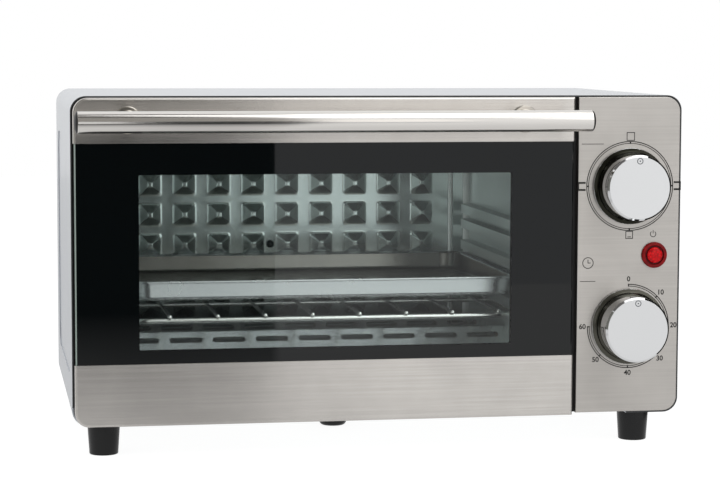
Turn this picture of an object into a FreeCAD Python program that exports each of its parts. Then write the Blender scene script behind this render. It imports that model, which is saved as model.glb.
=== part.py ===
import FreeCAD, Part
import math
import os

"""Portable mini oven with a drop-down glass door, two knobs and a pilot lamp.

All sizes are millimetres. X runs to the right, Z up and Y from the front to the back. While the pieces are
drawn, Y = 0 is the face of the control panel, Z = 0 is the table and X = 0 is the middle of the casing.
When they are written they move along Y together, so that the origin lies under the middle of the box that
holds the whole oven.
"""

Vector = FreeCAD.Vector
X_AXIS = Vector(1, 0, 0)
Y_AXIS = Vector(0, 1, 0)
Z_AXIS = Vector(0, 0, 1)

# Casing
casing_width = 362.0
casing_top = 208.2
casing_bottom = 17.8
casing_front = 1.0
casing_depth = 205.0
casing_wall = 0.8
casing_corner = 9.0
bottom_flange = 32.0
rear_flange = 10.0
side_field_margin = 26.0
side_field_depth = 0.6
side_field_corner = 14.0
casing_screw_inset = 3.0
casing_screw_front_inset = 54.0
casing_screw_rear_inset = 56.0
casing_screw_radius = 1.5
casing_screw_head = 2.9
casing_screw_rise = 1.4
casing_slot_length = 24.0
casing_slot_height = 3.0
casing_slot_pitch = 8.0
casing_slot_count = 7

# Clearances between pieces
sheet_gap = 0.2
glass_gap = 0.05
shaft_gap = 0.05
fixed_gap = 0.02
swing_gap = 0.4
knob_gap = 0.6
slide_gap = 0.3

# Base pan
pan_wall = 0.6
pan_edge = 6.0

# Control panel
panel_width = 62.6
panel_wall = 0.8
panel_return = 5.2
panel_flange = 14.0
panel_corner = 8.5
panel_screw_line = 9.6
panel_screw_rise = 17.2
panel_screw_drop = 95.2
panel_screw_radius = 1.5

# Door
door_gap = 3.2
door_side_gap = 0.4
door_seat_gap = 0.6
door_skin = 0.6
door_bottom = 18.2
door_corner = 8.5
glass_thickness = 4.0
glass_inset = 0.7
top_rail_height = 26.0
bottom_rail_height = 36.1
glass_in_top_rail = 6.7
glass_in_bottom_rail = 20.3
rail_back_drop = 6.0
stile_width = 14.0

# Handle
handle_radius = 6.1
handle_wall = 0.9
handle_standoff = 34.7
handle_drop = 12.7
handle_end_inset_left = 1.0
handle_end_inset_right = 0.0
cap_dome = 1.9
cap_plug = 8.0
post_inset = 31.0
post_radius = 5.2
post_foot_radius = 8.0
post_foot_thickness = 2.0

# Door hinge
hinge_rise = 3.0
hinge_pin_radius = 1.5
hinge_nose_radius = 2.9
hinge_inset = 9.8
hinge_screw_radius = 1.4
bracket_thickness = 1.5
bracket_reach = 30.6
bracket_foot_width = 9.0
bracket_foot_length = 12.0
lug_thickness = 1.5
lug_gap = 1.15
lug_rise = 0.4

# Front frame, set back so that the door's lower edge can swing past it
frame_front = 4.8
frame_wall = 0.8

# Cavity, by its distances from the door's sides, the base, the top and the back
cavity_margin_left = 25.8
cavity_margin_right = 20.2
cavity_margin_low = 16.8
cavity_margin_high = 17.4
cavity_margin_back = 14.0
cavity_front = 1.0
cavity_wall = 0.5

# Shelf guides pressed into the side walls, by their height over the cavity's floor
guide_rises = (37.5, 61.5, 85.5)
guide_rib_height = 6.0
guide_slot = 4.0
guide_reach = 8.0
guide_front = 16.0
guide_rear_margin = 8.0
guide_end_slope = 6.0

# Pyramids pressed into the back wall
pyramid_columns = 9
pyramid_rows = 6
pyramid_pitch_x = 22.8
pyramid_pitch_z = 20.15
pyramid_first_rise = 28.9
pyramid_base = 14.3
pyramid_top = 3.0
pyramid_height = 4.0
back_field_step = 2.0
back_field_margin = 11.7
back_flange = 4.1

# Heaters
heater_radius = 3.25
heater_spacing = 60.0
heater_set_back = 15.5
heater_rise = 13.0
heater_drop = 12.0
heater_overhang = 11.0
insulator_radius = 5.0
insulator_collar = 7.0
insulator_length = 8.0
terminal_radius = 1.2
terminal_length = 6.0
link_width = 5.0
link_thickness = 0.8

# Slotted guards over the lower heaters
guard_rise = 25.5
guard_foot_rise = 5.0
guard_flat = 5.0
guard_slope_deg = 56.0
guard_wall = 0.6
guard_slots = 9
guard_slot_pitch = 26.6
guard_slot_length = 20.3
guard_slot_height = 3.6
guard_slot_drop = 5.6
guard_slot_shift = 1.4

# Wire rack
rack_side_gap = 4.5
rack_front = 25.0
rack_rear_gap = 7.0
rack_rod_radius = 1.6
rack_wire_radius = 1.1
rack_corner = 16.0
rack_wires = 8
rack_wire_pitch = 28.3
rack_wire_shift = 6.3

# Baking tray
tray_side_gap = 5.0
tray_front = 20.0
tray_rear_gap = 4.0
tray_drop = 11.2
tray_wall = 0.8
tray_rim = 4.0
tray_bead = 1.6
tray_corner = 16.0
tray_draft = 3.5
tray_spread = 2.0

# Crumb tray
crumb_side_gap = 5.0
crumb_front = 3.6
crumb_rear_gap = 8.4
crumb_wall = 0.6
crumb_lip = 4.2

# Knobs
knob_offset = 0.6
function_drop = 52.9
timer_rise = 51.6
knob_skirt_radius = 22.7
knob_skirt_height = 4.6
knob_radius = 20.4
knob_face_radius = 19.4
knob_height = 20.3
knob_rim_round = 1.4
knob_wall = 2.0
knob_boss_radius = 5.2
knob_index_radius = 1.9
knob_index_inset = 4.6
knob_index_depth = 0.4
shaft_radius = 3.0
shaft_flat = 2.2
panel_shaft_hole = 5.5

# Parts behind the knobs
switch_width = 30.0
switch_depth = 24.0
switch_tab_spread = 9.0
switch_tab_rise = 7.0
switch_tab_length = 7.0
timer_width = 46.0
timer_tall = 42.0
timer_depth = 26.0
timer_tab_length = 5.0
timer_tab_rise = 8.0
bell_radius = 19.0
bell_depth = 9.0
bell_wall = 1.0
screw_circle = 12.0
switch_screw_radius = 1.5
switch_screw_head = 2.9

# Pilot lamp
lamp_inset = 15.2
lamp_rise = 94.2
lamp_flange_radius = 7.8
lamp_flange_thickness = 1.6
lamp_dome_radius = 4.7
lamp_dome_height = 1.6
lamp_groove = 0.6
lamp_barrel_radius = 6.0
lamp_barrel_length = 14.0
lamp_wall = 1.0
lamp_nut_radius = 8.5
lamp_nut_thickness = 3.0
neon_radius = 2.0
neon_start = 1.4
neon_length = 11.0
neon_plug_length = 2.0

# Rear cover
rear_margin = 5.0
rear_wall = 0.6
rear_corner = 6.0
rear_slot_length = 26.0
rear_slot_height = 3.2
rear_slot_pitch = 9.0
rear_screw_radius = 1.5
rear_screw_head = 3.2
rear_screw_rise = 1.5

# Mains inlet bush, without its cord
inlet_inset = 30.2
inlet_rise_over_base = 24.8
inlet_flange_radius = 9.0
inlet_body_radius = 6.0
inlet_hole_radius = 3.6
inlet_rise = 5.0

# Feet
foot_inset_left = 18.5
foot_inset_right = 24.2
front_foot_line = 13.5
rear_foot_inset = 18.0
foot_top_radius = 9.5
foot_bottom_radius = 8.5
foot_recess_radius = 4.0
foot_recess_depth = 9.0
foot_screw_radius = 1.8
foot_screw_head = 3.4
foot_screw_head_height = 2.4
foot_nut_radius = 3.6
foot_nut_height = 2.6
centre_foot_offset = 15.0
centre_foot_line = 90.0
centre_foot_radius = 8.4
centre_foot_round = 2.6

# Heat shield and electrical parts
shield_offset = 22.0
shield_wall = 0.6
shield_foot = 6.0
shield_hole_radius = 4.5
block_size = (30.0, 22.0, 12.0)
block_offset = 3.3
block_inset = 46.0
well_radius = 2.4
well_depth = 3.0
well_offset = 6.0
wire_radius = 1.1

# Lines and planes that follow from the driving sizes
casing_left = -casing_width / 2
casing_right = casing_width / 2
casing_back = casing_front + casing_depth
inner_left = casing_left + casing_wall
inner_right = casing_right - casing_wall
inner_top = casing_top - casing_wall
inner_bottom = casing_bottom + casing_wall
inner_corner = casing_corner - casing_wall
rear_flange_front = casing_back - casing_wall
rear_face = casing_back + rear_wall

panel_right = inner_right - sheet_gap
panel_left = panel_right - panel_width
panel_top = inner_top - sheet_gap
panel_bottom = inner_bottom + sheet_gap

door_left = inner_left + door_side_gap
door_right = panel_left - door_gap
door_top = inner_top - 0.1
door_middle = (door_left + door_right) / 2
door_back = cavity_front - door_seat_gap
rail_back_front = door_back - door_skin
glass_back = rail_back_front - glass_gap
glass_front = glass_back - glass_thickness
skin_back = glass_front - glass_gap
door_face = skin_back - door_skin
top_rail_bottom = door_top - top_rail_height
bottom_rail_top = door_bottom + bottom_rail_height
glass_top = top_rail_bottom + glass_in_top_rail
glass_bottom = bottom_rail_top - glass_in_bottom_rail
glass_left = door_left + glass_inset
glass_right = door_right - glass_inset

hinge_line = door_back
hinge_height = inner_bottom + hinge_rise
bracket_back = hinge_line + bracket_reach
hinge_centres = (door_left + hinge_inset, door_right - hinge_inset)
lug_outer = bracket_thickness / 2 + lug_gap + lug_thickness

handle_line = door_face - handle_standoff
handle_height = door_top - handle_drop
post_centres = (door_left + post_inset, door_right - post_inset)

frame_back = frame_front + frame_wall
frame_right = panel_left
base_top = inner_bottom + pan_wall
cavity_left = door_left + cavity_margin_left
cavity_right = door_right - cavity_margin_right
cavity_centre = (cavity_left + cavity_right) / 2
cavity_floor_height = base_top + cavity_margin_low
cavity_top = inner_top - cavity_margin_high
cavity_back = casing_back - cavity_margin_back
back_sheet_front = cavity_back - 2 * cavity_wall
guide_levels = tuple(cavity_floor_height + rise for rise in guide_rises)
pyramid_first_row = cavity_floor_height + pyramid_first_rise
heater_middle = (cavity_front + cavity_back) / 2 + heater_set_back
heater_lines = (heater_middle - heater_spacing / 2, heater_middle + heater_spacing / 2)
heater_low = cavity_floor_height + heater_rise
heater_high = cavity_top - heater_drop
guard_apex = cavity_floor_height + guard_rise
guard_foot = cavity_floor_height + guard_foot_rise

panel_middle = (panel_left + panel_right) / 2
knob_x = panel_middle + knob_offset
function_height = panel_top - function_drop
timer_height = panel_bottom + timer_rise
lamp_x = panel_right - lamp_inset
lamp_height = panel_bottom + lamp_rise
panel_screw_heights = (panel_bottom + panel_screw_rise, panel_top - panel_screw_drop)

shield_x = cavity_right + shield_offset
block_x = knob_x - block_offset
block_line = casing_back - block_inset
inlet_x = inner_right - inlet_inset
inlet_height = base_top + inlet_rise_over_base
casing_screw_lines = (casing_front + casing_screw_front_inset, casing_back - casing_screw_rear_inset)

foot_top = casing_bottom
rear_foot_line = casing_back - rear_foot_inset
centre_foot_x = -centre_foot_offset
foot_left = casing_left + foot_inset_left
foot_right = casing_right - foot_inset_right
foot_places = (
    ("front_left_foot", foot_left, front_foot_line),
    ("front_right_foot", foot_right, front_foot_line),
    ("rear_left_foot", foot_left, rear_foot_line),
    ("rear_right_foot", foot_right, rear_foot_line),
)

front_reach = -(handle_line - handle_radius)
rear_reach = rear_face + inlet_rise
shift_to_origin = (front_reach - rear_reach) / 2


def box(x0, x1, y0, y1, z0, z1):
    """A block between two corners."""
    return Part.makeBox(x1 - x0, y1 - y0, z1 - z0, Vector(x0, y0, z0))


def rod(start, direction, radius, length):
    """A round bar from a start point along a direction."""
    return Part.makeCylinder(radius, length, Vector(*start), direction)


def ring(start, direction, outer, inner, length):
    """A round tube from a start point along a direction."""
    return rod(start, direction, outer, length).cut(rod(start, direction, inner, length))


def rounded_loop(u0, u1, v0, v1, radii, to_space):
    """A closed outline with four radii, from the low corner anticlockwise, laid in space by to_space."""
    corners = ((u0, v0), (u1, v0), (u1, v1), (u0, v1))
    inward = ((1, 1), (-1, 1), (-1, -1), (1, -1))
    starts = (180, 270, 0, 90)
    edges = []
    last = None
    first = None
    for (u, v), (du, dv), start, radius in zip(corners, inward, starts, radii):
        if radius > 0:
            cu, cv = u + du * radius, v + dv * radius
            points = []
            for turn in (0, 45, 90):
                angle = math.radians(start + turn)
                points.append(to_space(cu + radius * math.cos(angle), cv + radius * math.sin(angle)))
        else:
            points = [to_space(u, v)]
        if last is not None and last.distanceToPoint(points[0]) > 1e-7:
            edges.append(Part.LineSegment(last, points[0]).toShape())
        if len(points) == 3:
            edges.append(Part.Arc(*points).toShape())
        if first is None:
            first = points[0]
        last = points[-1]
    if last.distanceToPoint(first) > 1e-7:
        edges.append(Part.LineSegment(last, first).toShape())
    return Part.Wire(edges)


def front_plate(x0, x1, z0, z1, y0, y1, radii=(0, 0, 0, 0)):
    """A plate that faces the front, with its own radius at each corner."""
    loop = rounded_loop(x0, x1, z0, z1, radii, lambda u, v: Vector(u, y0, v))
    return Part.Face(loop).extrude(Vector(0, y1 - y0, 0))


def level_loop(x0, x1, y0, y1, radius, z):
    """A level outline with four like corners."""
    return rounded_loop(x0, x1, y0, y1, (radius,) * 4, lambda u, v: Vector(u, v, z))


def level_plate(x0, x1, y0, y1, z0, z1, radius=0.0):
    """A level plate with four like corners."""
    return Part.Face(level_loop(x0, x1, y0, y1, radius, z0)).extrude(Vector(0, 0, z1 - z0))


def side_section(points, x0, x1):
    """A solid with a straight-sided section in the YZ plane, drawn out along X."""
    loop = Part.makePolygon([Vector(x0, y, z) for y, z in points + points[:1]])
    return Part.Face(loop).extrude(Vector(x1 - x0, 0, 0))


def turned(points, x, z):
    """A turned piece about a line along Y: points are radius and Y, with both ends on the line or closed."""
    loop = Part.makePolygon([Vector(x + r, y, z) for r, y in points + points[:1]])
    return Part.Face(loop).revolve(Vector(x, 0, z), Y_AXIS, 360)


def slot_through(x_middle, z_middle, length, height, y0, y1):
    """The tool for a level slot with round ends, cut from front to back."""
    half = length / 2
    return front_plate(x_middle - half, x_middle + half, z_middle - height / 2, z_middle + height / 2,
                       y0, y1, (height / 2 - 0.01,) * 4)


def joined(shapes):
    """Several solids fused into one."""
    return shapes[0].fuse(shapes[1:]).removeSplitter() if len(shapes) > 1 else shapes[0]


def together(shapes):
    """Several separate solids in one node."""
    return Part.makeCompound(shapes)


def save(name, shape):
    """Move a piece to its place over the origin and write it."""
    placed = shape.copy()
    placed.translate(Vector(0, shift_to_origin, 0))
    placed.exportStep("parts/" + name + ".step")


def outer_casing():
    """One wrapped sheet: top, sides, round corners, turned-in bottom edges and a flange round the back."""
    shell = front_plate(casing_left, casing_right, casing_bottom, casing_top, casing_front, casing_back,
                        (casing_corner,) * 4)
    inside = front_plate(inner_left, inner_right, inner_bottom, inner_top, casing_front - 1,
                         rear_flange_front, (inner_corner,) * 4)
    mouth = front_plate(inner_left + rear_flange, inner_right - rear_flange, inner_bottom + rear_flange,
                        inner_top - rear_flange, rear_flange_front - 1, casing_back + 1, (rear_corner,) * 4)
    slot = box(casing_left + bottom_flange, casing_right - bottom_flange, casing_front - 1,
               rear_flange_front, casing_bottom - 1, inner_bottom + 0.01)
    door_clearance = box(casing_left - 1, casing_left + bottom_flange + 1, casing_front - 1,
                         frame_front + swing_gap, casing_bottom - 1, hinge_height + 2.6 * hinge_nose_radius)
    casing = shell.cut([inside, mouth, slot, door_clearance])
    casing = casing.fuse([side_field(1, True), side_field(-1, True)])
    casing = casing.cut([side_field(1, False), side_field(-1, False)])
    casing = casing.cut(casing_vents())
    holes = [screw_hole(place, foot_screw_radius) for place in foot_screw_places()[:4]]
    holes += [screw_hole(place, casing_screw_radius) for place in casing_screw_places()]
    holes += [rod((x, rear_flange_front - 1, z), Y_AXIS, rear_screw_radius + fixed_gap, casing_wall + 2)
              for x, z in rear_screw_places()]
    return casing.cut(holes)


def side_field(side, inner):
    """The shallow pressed field on a casing side: its inner pad or the outer pocket that sinks it."""
    y0, y1 = casing_front + side_field_margin, casing_back - side_field_margin
    z0, z1 = casing_bottom + side_field_margin, casing_top - side_field_margin
    grow = casing_wall if inner else 0.0
    radius = side_field_corner + grow
    plane = side * (casing_right - (casing_wall + side_field_depth if inner else side_field_depth))
    thickness = side * (side_field_depth + (0.01 if inner else 1.0))
    loop = rounded_loop(y0 - grow, y1 + grow, z0 - grow, z1 + grow, (radius,) * 4,
                        lambda u, v: Vector(plane, u, v))
    return Part.Face(loop).extrude(Vector(thickness, 0, 0))


def casing_vents():
    """Rows of slots low in the right side, beside the controls."""
    tools = []
    first_z = casing_bottom + side_field_margin + 14.0
    for row in range(casing_slot_count):
        z = first_z + row * casing_slot_pitch
        for y in (casing_back - 62.0, casing_back - 96.0):
            loop = rounded_loop(y - casing_slot_length / 2, y + casing_slot_length / 2,
                                z - casing_slot_height / 2, z + casing_slot_height / 2,
                                (casing_slot_height / 2 - 0.01,) * 4,
                                lambda u, v: Vector(casing_right - 4, u, v))
            tools.append(Part.Face(loop).extrude(Vector(8, 0, 0)))
    return tools


def base_pan():
    """The floor of the oven's body, with an upturned edge at the front and the back."""
    edge = inner_corner + 1.0
    x0, x1 = inner_left + edge, inner_right - edge
    y0, y1 = frame_back + 0.1, rear_flange_front
    pan = box(x0, x1, y0, y1, inner_bottom, base_top)
    front_edge = box(x0, x1, y0, y0 + pan_wall, inner_bottom, base_top + pan_edge)
    rear_edge = box(x0, x1, y1 - pan_wall, y1, inner_bottom, base_top + pan_edge)
    pan = joined([pan, front_edge, rear_edge])
    tools = [screw_hole(place, foot_screw_radius) for place in foot_screw_places()]
    tools += [screw_hole(place, casing_screw_radius) for place in casing_screw_places()]
    for x, side in zip(hinge_centres, (1, -1)):
        tools.append(arm_notch(x, y0 - 1, y0 + pan_wall + 0.2, base_top, base_top + pan_edge + 1))
        tools += [rod((sx, sy, inner_bottom - 1), Z_AXIS, hinge_screw_radius + fixed_gap, 4)
                  for sx, sy in hinge_screw_places(x, side)]
    for row in range(5):
        for column in range(3):
            x = shield_x + 16 + column * 18
            tools.append(level_plate(x - 7, x + 7, 60 + row * 14, 63 + row * 14,
                                     inner_bottom - 1, base_top + 1, 1.45))
    return pan.cut(tools)


def arm_notch(x, y0, y1, z0, z1):
    """The tool for the notch that a hinge bracket's arm passes through."""
    half = bracket_thickness / 2 + swing_gap
    return box(x - half, x + half, y0, y1, z0, z1)


def foot_screw_places():
    """Where a screw holds each foot: X, Y."""
    places = [(x, y) for _, x, y in foot_places]
    return places + [(centre_foot_x, centre_foot_line)]


def casing_screw_places():
    """Two screws under each side hold the casing's turned-in edges to the base pan: X, Y."""
    x_side = casing_right - casing_corner - casing_screw_inset
    return [(x, y) for x in (-x_side, x_side) for y in casing_screw_lines]


def screw_hole(place, radius):
    """The tool for a vertical screw's hole through the casing's bottom edge and the base pan."""
    x, y = place
    return rod((x, y, casing_bottom - 1), Z_AXIS, radius + fixed_gap, base_top - casing_bottom + 2)


def casing_screws():
    """Four low-headed screws under the oven."""
    screws = []
    for x, y in casing_screw_places():
        head = rod((x, y, casing_bottom - casing_screw_rise), Z_AXIS, casing_screw_head, casing_screw_rise)
        stem = rod((x, y, casing_bottom), Z_AXIS, casing_screw_radius, 6.0)
        driver = box(x - 1.9, x + 1.9, y - 0.35, y + 0.35, casing_bottom - casing_screw_rise - 1,
                     casing_bottom - casing_screw_rise + 0.8)
        screws.append(head.fuse(stem).cut(driver))
    return together(screws)


def rear_cover():
    """The flat cover on the casing's back flange, with rows of slots and the inlet's hole."""
    cover = front_plate(casing_left + rear_margin, casing_right - rear_margin, casing_bottom + rear_margin,
                        casing_top - rear_margin, casing_back, rear_face, (rear_corner,) * 4)
    tools = [rod((inlet_x, casing_back - 1, inlet_height), Y_AXIS, inlet_body_radius + 0.05, 4)]
    for x, z in rear_screw_places():
        tools.append(rod((x, casing_back - 1, z), Y_AXIS, rear_screw_radius + fixed_gap, 4))
    for row in range(7):
        z = casing_top - 62 - row * rear_slot_pitch
        tools.append(slot_through(inlet_x - 4, z, rear_slot_length, rear_slot_height,
                                  casing_back - 1, rear_face + 1))
    for row in range(3):
        for column in range(5):
            tools.append(slot_through(cavity_centre + (column - 2) * 40, casing_bottom + 26 + row * 9,
                                      rear_slot_length, rear_slot_height, casing_back - 1, rear_face + 1))
    return cover.cut(tools)


def rear_screw_places():
    """Six screws round the rear cover: X, Z."""
    inset = rear_margin + 5.0
    x_side = casing_right - inset
    low, high = casing_bottom + inset, casing_top - inset
    return [(x, z) for x in (-x_side, x_side) for z in (low, high)] + [(0.0, low), (0.0, high)]


def rear_screws():
    """Pan-head screws that hold the rear cover on the casing's flange."""
    screws = []
    for x, z in rear_screw_places():
        top = rear_face + rear_screw_rise
        head = turned([(0, rear_face), (rear_screw_head, rear_face), (rear_screw_head, rear_face + 0.9),
                       (rear_screw_head - 0.9, top), (0, top)], x, z)
        stem = rod((x, rear_face - 7, z), Y_AXIS, rear_screw_radius, 7)
        level = box(x - 2, x + 2, rear_face + 0.9, top + 1, z - 0.35, z + 0.35)
        upright = box(x - 0.35, x + 0.35, rear_face + 0.9, top + 1, z - 2, z + 2)
        screws.append(head.fuse(stem).cut([level, upright]))
    return together(screws)


def front_frame():
    """The plate round the cavity's mouth, with a flange that the control panel is fixed to."""
    x0 = inner_left + 0.1
    plate = front_plate(x0, frame_right, inner_bottom + 0.1, inner_top - 0.1, frame_front, frame_back,
                        (inner_corner - 0.1, 0, 0, inner_corner - 0.1))
    flange = box(frame_right - frame_wall, frame_right, frame_front, panel_flange, base_top + 8,
                 inner_top - 12)
    frame = joined([plate, flange])
    wall = cavity_wall + 0.1
    mouth = box(cavity_left - wall, cavity_right + wall, frame_front - 1, frame_back + 1,
                cavity_floor_height - wall, cavity_top + wall)
    tools = [mouth]
    for x in hinge_centres:
        tools.append(arm_notch(x, frame_front - 1, frame_back + 1, inner_bottom - 1,
                               hinge_height + hinge_nose_radius + 0.8))
    tools += [rod((frame_right - 3, panel_screw_line, z), X_AXIS, panel_screw_radius + fixed_gap, 6)
              for z in panel_screw_heights]
    return frame.cut(tools)


def control_panel():
    """The steel panel on the right, with turned-back edges and the holes for two shafts and the lamp."""
    radii = (0, panel_corner, panel_corner, 0)
    inner = (0, panel_corner - panel_wall, panel_corner - panel_wall, 0)
    body = front_plate(panel_left, panel_right, panel_bottom, panel_top, 0, panel_return, radii)
    hollow = front_plate(panel_left + panel_wall, panel_right - panel_wall, panel_bottom + panel_wall,
                         panel_top - panel_wall, panel_wall, panel_return + 1, inner)
    flange = box(panel_left, panel_left + panel_wall, panel_return - 1, panel_flange, base_top + 8,
                 inner_top - 12)
    panel = joined([body.cut(hollow), flange])
    tools = [rod((lamp_x, -1, lamp_height), Y_AXIS, lamp_barrel_radius + 0.1, 4)]
    tools += [rod((panel_left - 2, panel_screw_line, z), X_AXIS, panel_screw_radius + fixed_gap, 6)
              for z in panel_screw_heights]
    for z in (function_height, timer_height):
        tools.append(rod((knob_x, -1, z), Y_AXIS, panel_shaft_hole, 4))
        for dz in (-screw_circle, screw_circle):
            tools.append(turned([(0, -0.01), (switch_screw_head, -0.01), (switch_screw_radius + 0.02, 0.7),
                                 (switch_screw_radius + 0.02, 2), (0, 2)], knob_x, z + dz))
    return panel.cut(tools)


def panel_screws():
    """Two screws that hold the panel's inner flange to the frame's flange."""
    screws = []
    for z in panel_screw_heights:
        x = panel_left + panel_wall
        head = rod((x, panel_screw_line, z), X_AXIS, 2.6, 1.4)
        stem = rod((x - 6, panel_screw_line, z), X_AXIS, panel_screw_radius, 6)
        driver = box(x + 0.6, x + 2, panel_screw_line - 0.3, panel_screw_line + 0.3, z - 1.7, z + 1.7)
        screws.append(head.fuse(stem).cut(driver))
    return together(screws)


def rail_outline(z0, z1, y0, y1, inset, top):
    """The outline of a door rail, pulled in by an inset, with one round corner at its outer end."""
    radius = door_corner - inset
    radii = (0, 0, 0, radius) if top else (radius, 0, 0, 0)
    low = z0 - 20 if (top and inset > 0) else z0 + inset
    high = z1 + 20 if (not top and inset > 0) else z1 - inset
    return front_plate(door_left + inset, door_right - inset, low, high, y0, y1, radii)


def door_top_rail():
    """The folded strip over the glass: a channel that opens downwards, with holes for the handle's screws."""
    z0, z1 = top_rail_bottom, door_top
    rail = rail_outline(z0, z1, door_face, door_back, 0, True)
    rail = rail.cut(rail_outline(z0, z1, skin_back, rail_back_front, door_skin, True))
    tools = [box(door_left - 1, door_right + 1, rail_back_front - 0.1, door_back + 1, z0 - 1,
                 glass_top - rail_back_drop + 1)]
    for x in post_centres:
        tools.append(rod((x, door_face - 1, handle_height), Y_AXIS, 2.05, 3))
        tools.append(rod((x, rail_back_front - 0.2, handle_height), Y_AXIS, 4.6, 3))
    return rail.cut(tools)


def door_bottom_rail():
    """The folded strip under the glass: a channel that opens upwards, notched for the two hinges."""
    z0, z1 = door_bottom, bottom_rail_top
    rail = rail_outline(z0, z1, door_face, door_back, 0, False)
    rail = rail.cut(rail_outline(z0, z1, skin_back, rail_back_front, door_skin, False))
    tools = [box(door_left - 1, door_right + 1, rail_back_front - 0.1, door_back + 1, z1 - rail_back_drop,
                 z1 + 1)]
    for x in hinge_centres:
        half_slot = bracket_thickness / 2 + 0.9
        half_notch = lug_outer + 0.4
        tools.append(box(x - half_slot, x + half_slot, hinge_line - hinge_nose_radius - 0.6, door_back + 1,
                         z0 - 1, z0 + door_skin + 0.1))
        tools.append(box(x - half_notch, x + half_notch, rail_back_front - 0.1, door_back + 1, z0 - 1,
                         hinge_height + 7.6))
    return rail.cut(tools)


def door_stiles():
    """Two flat bars behind the glass edges that tie the rails together."""
    z0, z1 = bottom_rail_top - rail_back_drop, glass_top - rail_back_drop + 1
    left = box(door_left + door_skin, door_left + door_skin + stile_width, rail_back_front, door_back, z0, z1)
    right = box(door_right - door_skin - stile_width, door_right - door_skin, rail_back_front, door_back,
                z0, z1)
    return together([left, right])


def door_glass():
    """One tempered pane that spans the door."""
    return front_plate(glass_left, glass_right, glass_bottom, glass_top, glass_front, glass_back)


def glass_pads():
    """Two blocks in the bottom rail that the pane stands on."""
    pads = []
    for x in (door_middle - 80, door_middle + 80):
        pads.append(box(x - 15, x + 15, glass_front, glass_back, door_bottom + door_skin, glass_bottom))
    return together(pads)


def handle_tube():
    """The straight tube across the door's top."""
    x0, x1 = handle_ends()
    return ring((x0, handle_line, handle_height), X_AXIS, handle_radius, handle_radius - handle_wall, x1 - x0)


def handle_ends():
    """Where the handle tube starts and stops along X."""
    return door_left + handle_end_inset_left, door_right + handle_end_inset_right


def handle_end_caps():
    """Black domed plugs in the tube's ends."""
    caps = []
    plug = handle_radius - handle_wall - 0.02
    for x, side in zip(handle_ends(), (-1, 1)):
        sphere_radius = (plug_rim() ** 2 + cap_dome ** 2) / (2 * cap_dome)
        centre = Vector(x - side * (sphere_radius - cap_dome), handle_line, handle_height)
        dome = Part.makeSphere(sphere_radius, centre)
        keep = rod((x, handle_line, handle_height), Vector(side, 0, 0), plug_rim(), cap_dome + 1)
        stem = rod((x - side * cap_plug, handle_line, handle_height), Vector(side, 0, 0), plug,
                   cap_plug + 0.01)
        caps.append(dome.common(keep).fuse(stem))
    return together(caps)


def plug_rim():
    """Radius of the cap where it meets the tube's end."""
    return handle_radius - 0.1


def handle_posts():
    """Two round posts with wide feet, hollowed to take the tube."""
    posts = []
    for x in post_centres:
        foot = rod((x, door_face, handle_height), Vector(0, -1, 0), post_foot_radius, post_foot_thickness)
        stem = rod((x, door_face, handle_height), Vector(0, -1, 0), post_radius, handle_standoff)
        seat = rod((x - 20, handle_line, handle_height), X_AXIS, handle_radius + 0.01, 40)
        thread = rod((x, door_face + 1, handle_height), Vector(0, -1, 0), 2.02, 13)
        posts.append(foot.fuse(stem).cut([seat, thread]))
    return together(posts)


def handle_screws():
    """Two screws from inside the top rail into the posts."""
    screws = []
    for x in post_centres:
        head = rod((x, skin_back, handle_height), Y_AXIS, 3.8, 2.4)
        stem = rod((x, skin_back, handle_height), Vector(0, -1, 0), 2.0, 11)
        driver = box(x - 2.4, x + 2.4, skin_back + 1.4, skin_back + 3, handle_height - 0.4,
                     handle_height + 0.4)
        screws.append(head.fuse(stem).cut(driver))
    return together(screws)


def door_hinge_lugs():
    """Two forked lugs inside the bottom rail that hold the hinge pins."""
    lugs = []
    z_low = door_bottom + door_skin + lug_rise
    z_high = hinge_height + hinge_nose_radius + 3.2
    y_back = hinge_line + hinge_nose_radius - 0.3
    for x in hinge_centres:
        cheeks = box(x - lug_outer, x + lug_outer, skin_back, y_back, z_low, z_high)
        gap = bracket_thickness / 2 + lug_gap
        throat = box(x - gap, x + gap, skin_back - 1, y_back + 1, z_low - 1, z_high - 1.5)
        bore = rod((x - lug_outer - 1, hinge_line, hinge_height), X_AXIS, hinge_pin_radius + 0.01,
                   2 * lug_outer + 2)
        lugs.append(cheeks.cut([throat, bore]))
    return together(lugs)


def door_hinge_pins():
    """The pins that the door turns on."""
    pins = []
    for x in hinge_centres:
        pins.append(rod((x - lug_outer - 0.4, hinge_line, hinge_height), X_AXIS, hinge_pin_radius,
                        2 * lug_outer + 0.8))
    return together(pins)


def hinge_brackets():
    """Two fixed arms on the base that carry the hinge pins in front of the frame."""
    brackets = []
    half = bracket_thickness / 2
    for x, side in zip(hinge_centres, (1, -1)):
        nose = rod((x - half, hinge_line, hinge_height), X_AXIS, hinge_nose_radius, bracket_thickness)
        arm = box(x - half, x + half, hinge_line, bracket_back, base_top, hinge_height + hinge_nose_radius)
        edges = sorted((x - side * half, x + side * (bracket_foot_width - half)))
        foot_plate = box(edges[0], edges[1], bracket_back - bracket_foot_length, bracket_back, base_top,
                         base_top + bracket_thickness)
        tools = [rod((x - half - 1, hinge_line, hinge_height), X_AXIS, hinge_pin_radius + shaft_gap,
                     bracket_thickness + 2)]
        tools += [rod((sx, sy, base_top - 1), Z_AXIS, hinge_screw_radius + fixed_gap, 4)
                  for sx, sy in hinge_screw_places(x, side)]
        brackets.append(joined([nose, arm, foot_plate]).cut(tools))
    return together(brackets)


def hinge_screw_places(x, side):
    """Two screws in one bracket's foot: X, Y."""
    middle = x + side * (bracket_foot_width / 2 + 0.3)
    return [(middle, bracket_back - bracket_foot_length * share) for share in (0.25, 0.75)]


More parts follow.
